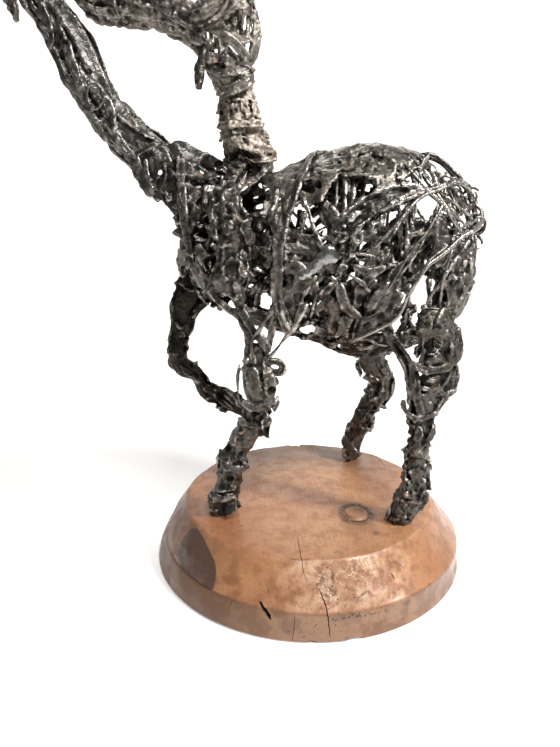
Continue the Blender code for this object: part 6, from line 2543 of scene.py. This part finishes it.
@dataclass
class Studio:
    """A pale sweep, soft lamps and the camera."""

    camera_place: Point = (-0.02584, -0.51265, 0.31519)
    camera_pitch: float = 74.065
    lens: float = 28.92
    # Each lamp: name, place, size across and power in watts.
    lamps: tuple[tuple[str, Point, float, float], ...] = (
        ("key", (1.00, -0.55, 1.25), 0.30, 27.0),
        ("front", (0.25, -0.85, 1.30), 0.45, 12.0),
        ("back", (0.10, 0.70, 1.30), 0.50, 5.0),
    )
    # The height that the lamps point at.
    lamp_aim: float = 0.2
    world: float = 0.12
    glow: float = 0.32
    floor_front: float = 1.4
    floor_half_length: float = 1.6
    floor_half_width: float = 2.2
    # Where the floor starts to curve up, and the radius of the curve.
    flat_end: float = 0.45
    bend_radius: float = 0.5

    def sweep_floor(self) -> bpy.types.Object:
        """The floor, which curves up behind."""
        builder = bmesh.new()
        bmesh.ops.create_grid(builder, x_segments=1, y_segments=60, size=1.0)
        flat_end, radius = self.flat_end, self.bend_radius
        for vertex in builder.verts:
            run = (vertex.co.y + 1) * self.floor_half_length - self.floor_front
            bend = min(max(run - flat_end, 0.0) / radius, pi / 2)
            rest = max(run - flat_end - radius * pi / 2, 0.0)
            y, z = min(run, flat_end) + radius * sin(bend), radius * (1 - cos(bend)) + rest
            vertex.co = (vertex.co.x * self.floor_half_width, y, z)
        mesh = mesh_from(builder, "sweep")
        floor = place_piece("sweep", mesh)
        mesh.shade_smooth()
        paper, net, shader = new_material("Pale paper")
        grain = net.noise(net.where(), 7.0, 2.0)
        feeds = {
            "Base Color": net.blend(grain, (0.84, 0.83, 0.815), (0.86, 0.855, 0.845)), "Roughness": 0.9,
            "Emission Color": (1.0, 0.985, 0.965), "Emission Strength": self.glow,
        }
        net.feed(shader, feeds)
        mesh.materials.append(paper)
        return floor

    def build(self) -> None:
        """Sets up the floor, the lamps, the world and the camera."""
        scene = bpy.context.scene
        self.sweep_floor()
        for name, place, size, power in self.lamps:
            lamp = bpy.data.lights.new(name, "AREA")
            lamp.shape, lamp.size, lamp.energy = "DISK", size, power
            holder = place_piece(name, lamp)
            holder.location = place
            aim = Vector((0, 0, self.lamp_aim)) - Vector(place)
            holder.rotation_euler = aim.to_track_quat("-Z", "Y").to_euler()
        world = bpy.data.worlds.new("Studio")
        world.use_nodes = True
        sky = {"Color": (1.0, 0.99, 0.975), "Strength": self.world}
        Net(world.node_tree).feed(world.node_tree.nodes["Background"], sky)
        scene.world = world
        scene.view_settings.view_transform = "Standard"
        camera = bpy.data.cameras.new("camera")
        camera.lens, camera.sensor_width, camera.sensor_fit = self.lens, 36.0, "AUTO"
        camera.clip_start = 0.01
        holder = place_piece("camera", camera)
        holder.location = self.camera_place
        holder.rotation_euler = (radians(self.camera_pitch), 0, 0)
        scene.camera = holder


# ---------------------------------------------------------------- the whole figure

LEFT_NODES = (
    "rib_1", "rib_2", "rib_3", "flank_plate_left", "haunch_plate_left", "shoulder_plate_left",
)
# Dents on the left flank, darkened as painted shade: x, z, reach and depth.
SHADED_DENTS = (
    (-84.5, 292.8, 8, 8), (-48, 317.9, 11, 10), (-73.9, 270.6, 10, 9), (-40.8, 297.6, 7, 7),
    (-91.4, 275.6, 6.5, 6), (-41.1, 263, 8.5, 8), (-80.6, 303, 6.5, 6), (-99, 305, 5.5, 6), (35, 245, 6, 5),
    (85, 265, 6, 6), (18, 250, 6, 5), (-5, 245, 6, 5), (-66, 332, 12, 10), (-56, 248, 7, 7),
    (62, 278, 6, 6),
)
RIGHT_NODES = ("flank_plate_right", "shoulder_plate_right")


def main() -> None:
    """Builds the figure, the plinth and the studio."""
    logging.basicConfig(level=logging.INFO, format="%(name)s: %(message)s")
    Studio().build()
    Plinth(OldWood()).build()
    barrel = Barrel()
    left_ribs = ((-0.083, -0.076, (20, 100)), (-0.030, -0.047, (25, 160)), (-0.004, -0.020, (60, 150)))
    builders = (
        Flank(barrel, LEFT, BLACKENED, LEFT_SCRAPS, LEFT_MEMBERS, left_ribs, LEFT_NODES, shaded_dents=SHADED_DENTS),
        Flank(
            barrel, LEFT, LEAF, (), LEAF_MEMBERS, (), ("horn_strap_left",), 35, "leaf", False, voxel=0.0008,
            beating=Beating(((0.0060, 0.0012), (0.0026, 0.0005)), ((0.0065, 0.0014),)),
        ),
        Flank(barrel, RIGHT, BLACKENED, RIGHT_SCRAPS, RIGHT_MEMBERS, left_ribs, RIGHT_NODES, 32),
        BackSheet(barrel, BEATEN),
        Belly(barrel, SHADED_SCRAP),
        Innards(barrel, SHADED_INSIDE),
        DrawnRods(barrel, DRAWN),
        Rump(DRAWN),
        WeldBlob(barrel, BRIGHT),
        breast(),
        neck(),
        horse_head(),
        cheek_drop(),
        *[ear(side) for side in SIDES],
        fore_leg_left(),
        fore_leg_right(),
        hind_leg_left(),
        hind_leg_right(),
        rider_seat(),
        rider_trunk(),
        *[limb(side) for limb in (rider_arm, rider_leg) for side in SIDES],
        hanging_drip(),
        Helmet(BLACKENED),
    )
    for builder in builders:
        builder.build()


if __name__ == "__main__":
    main()
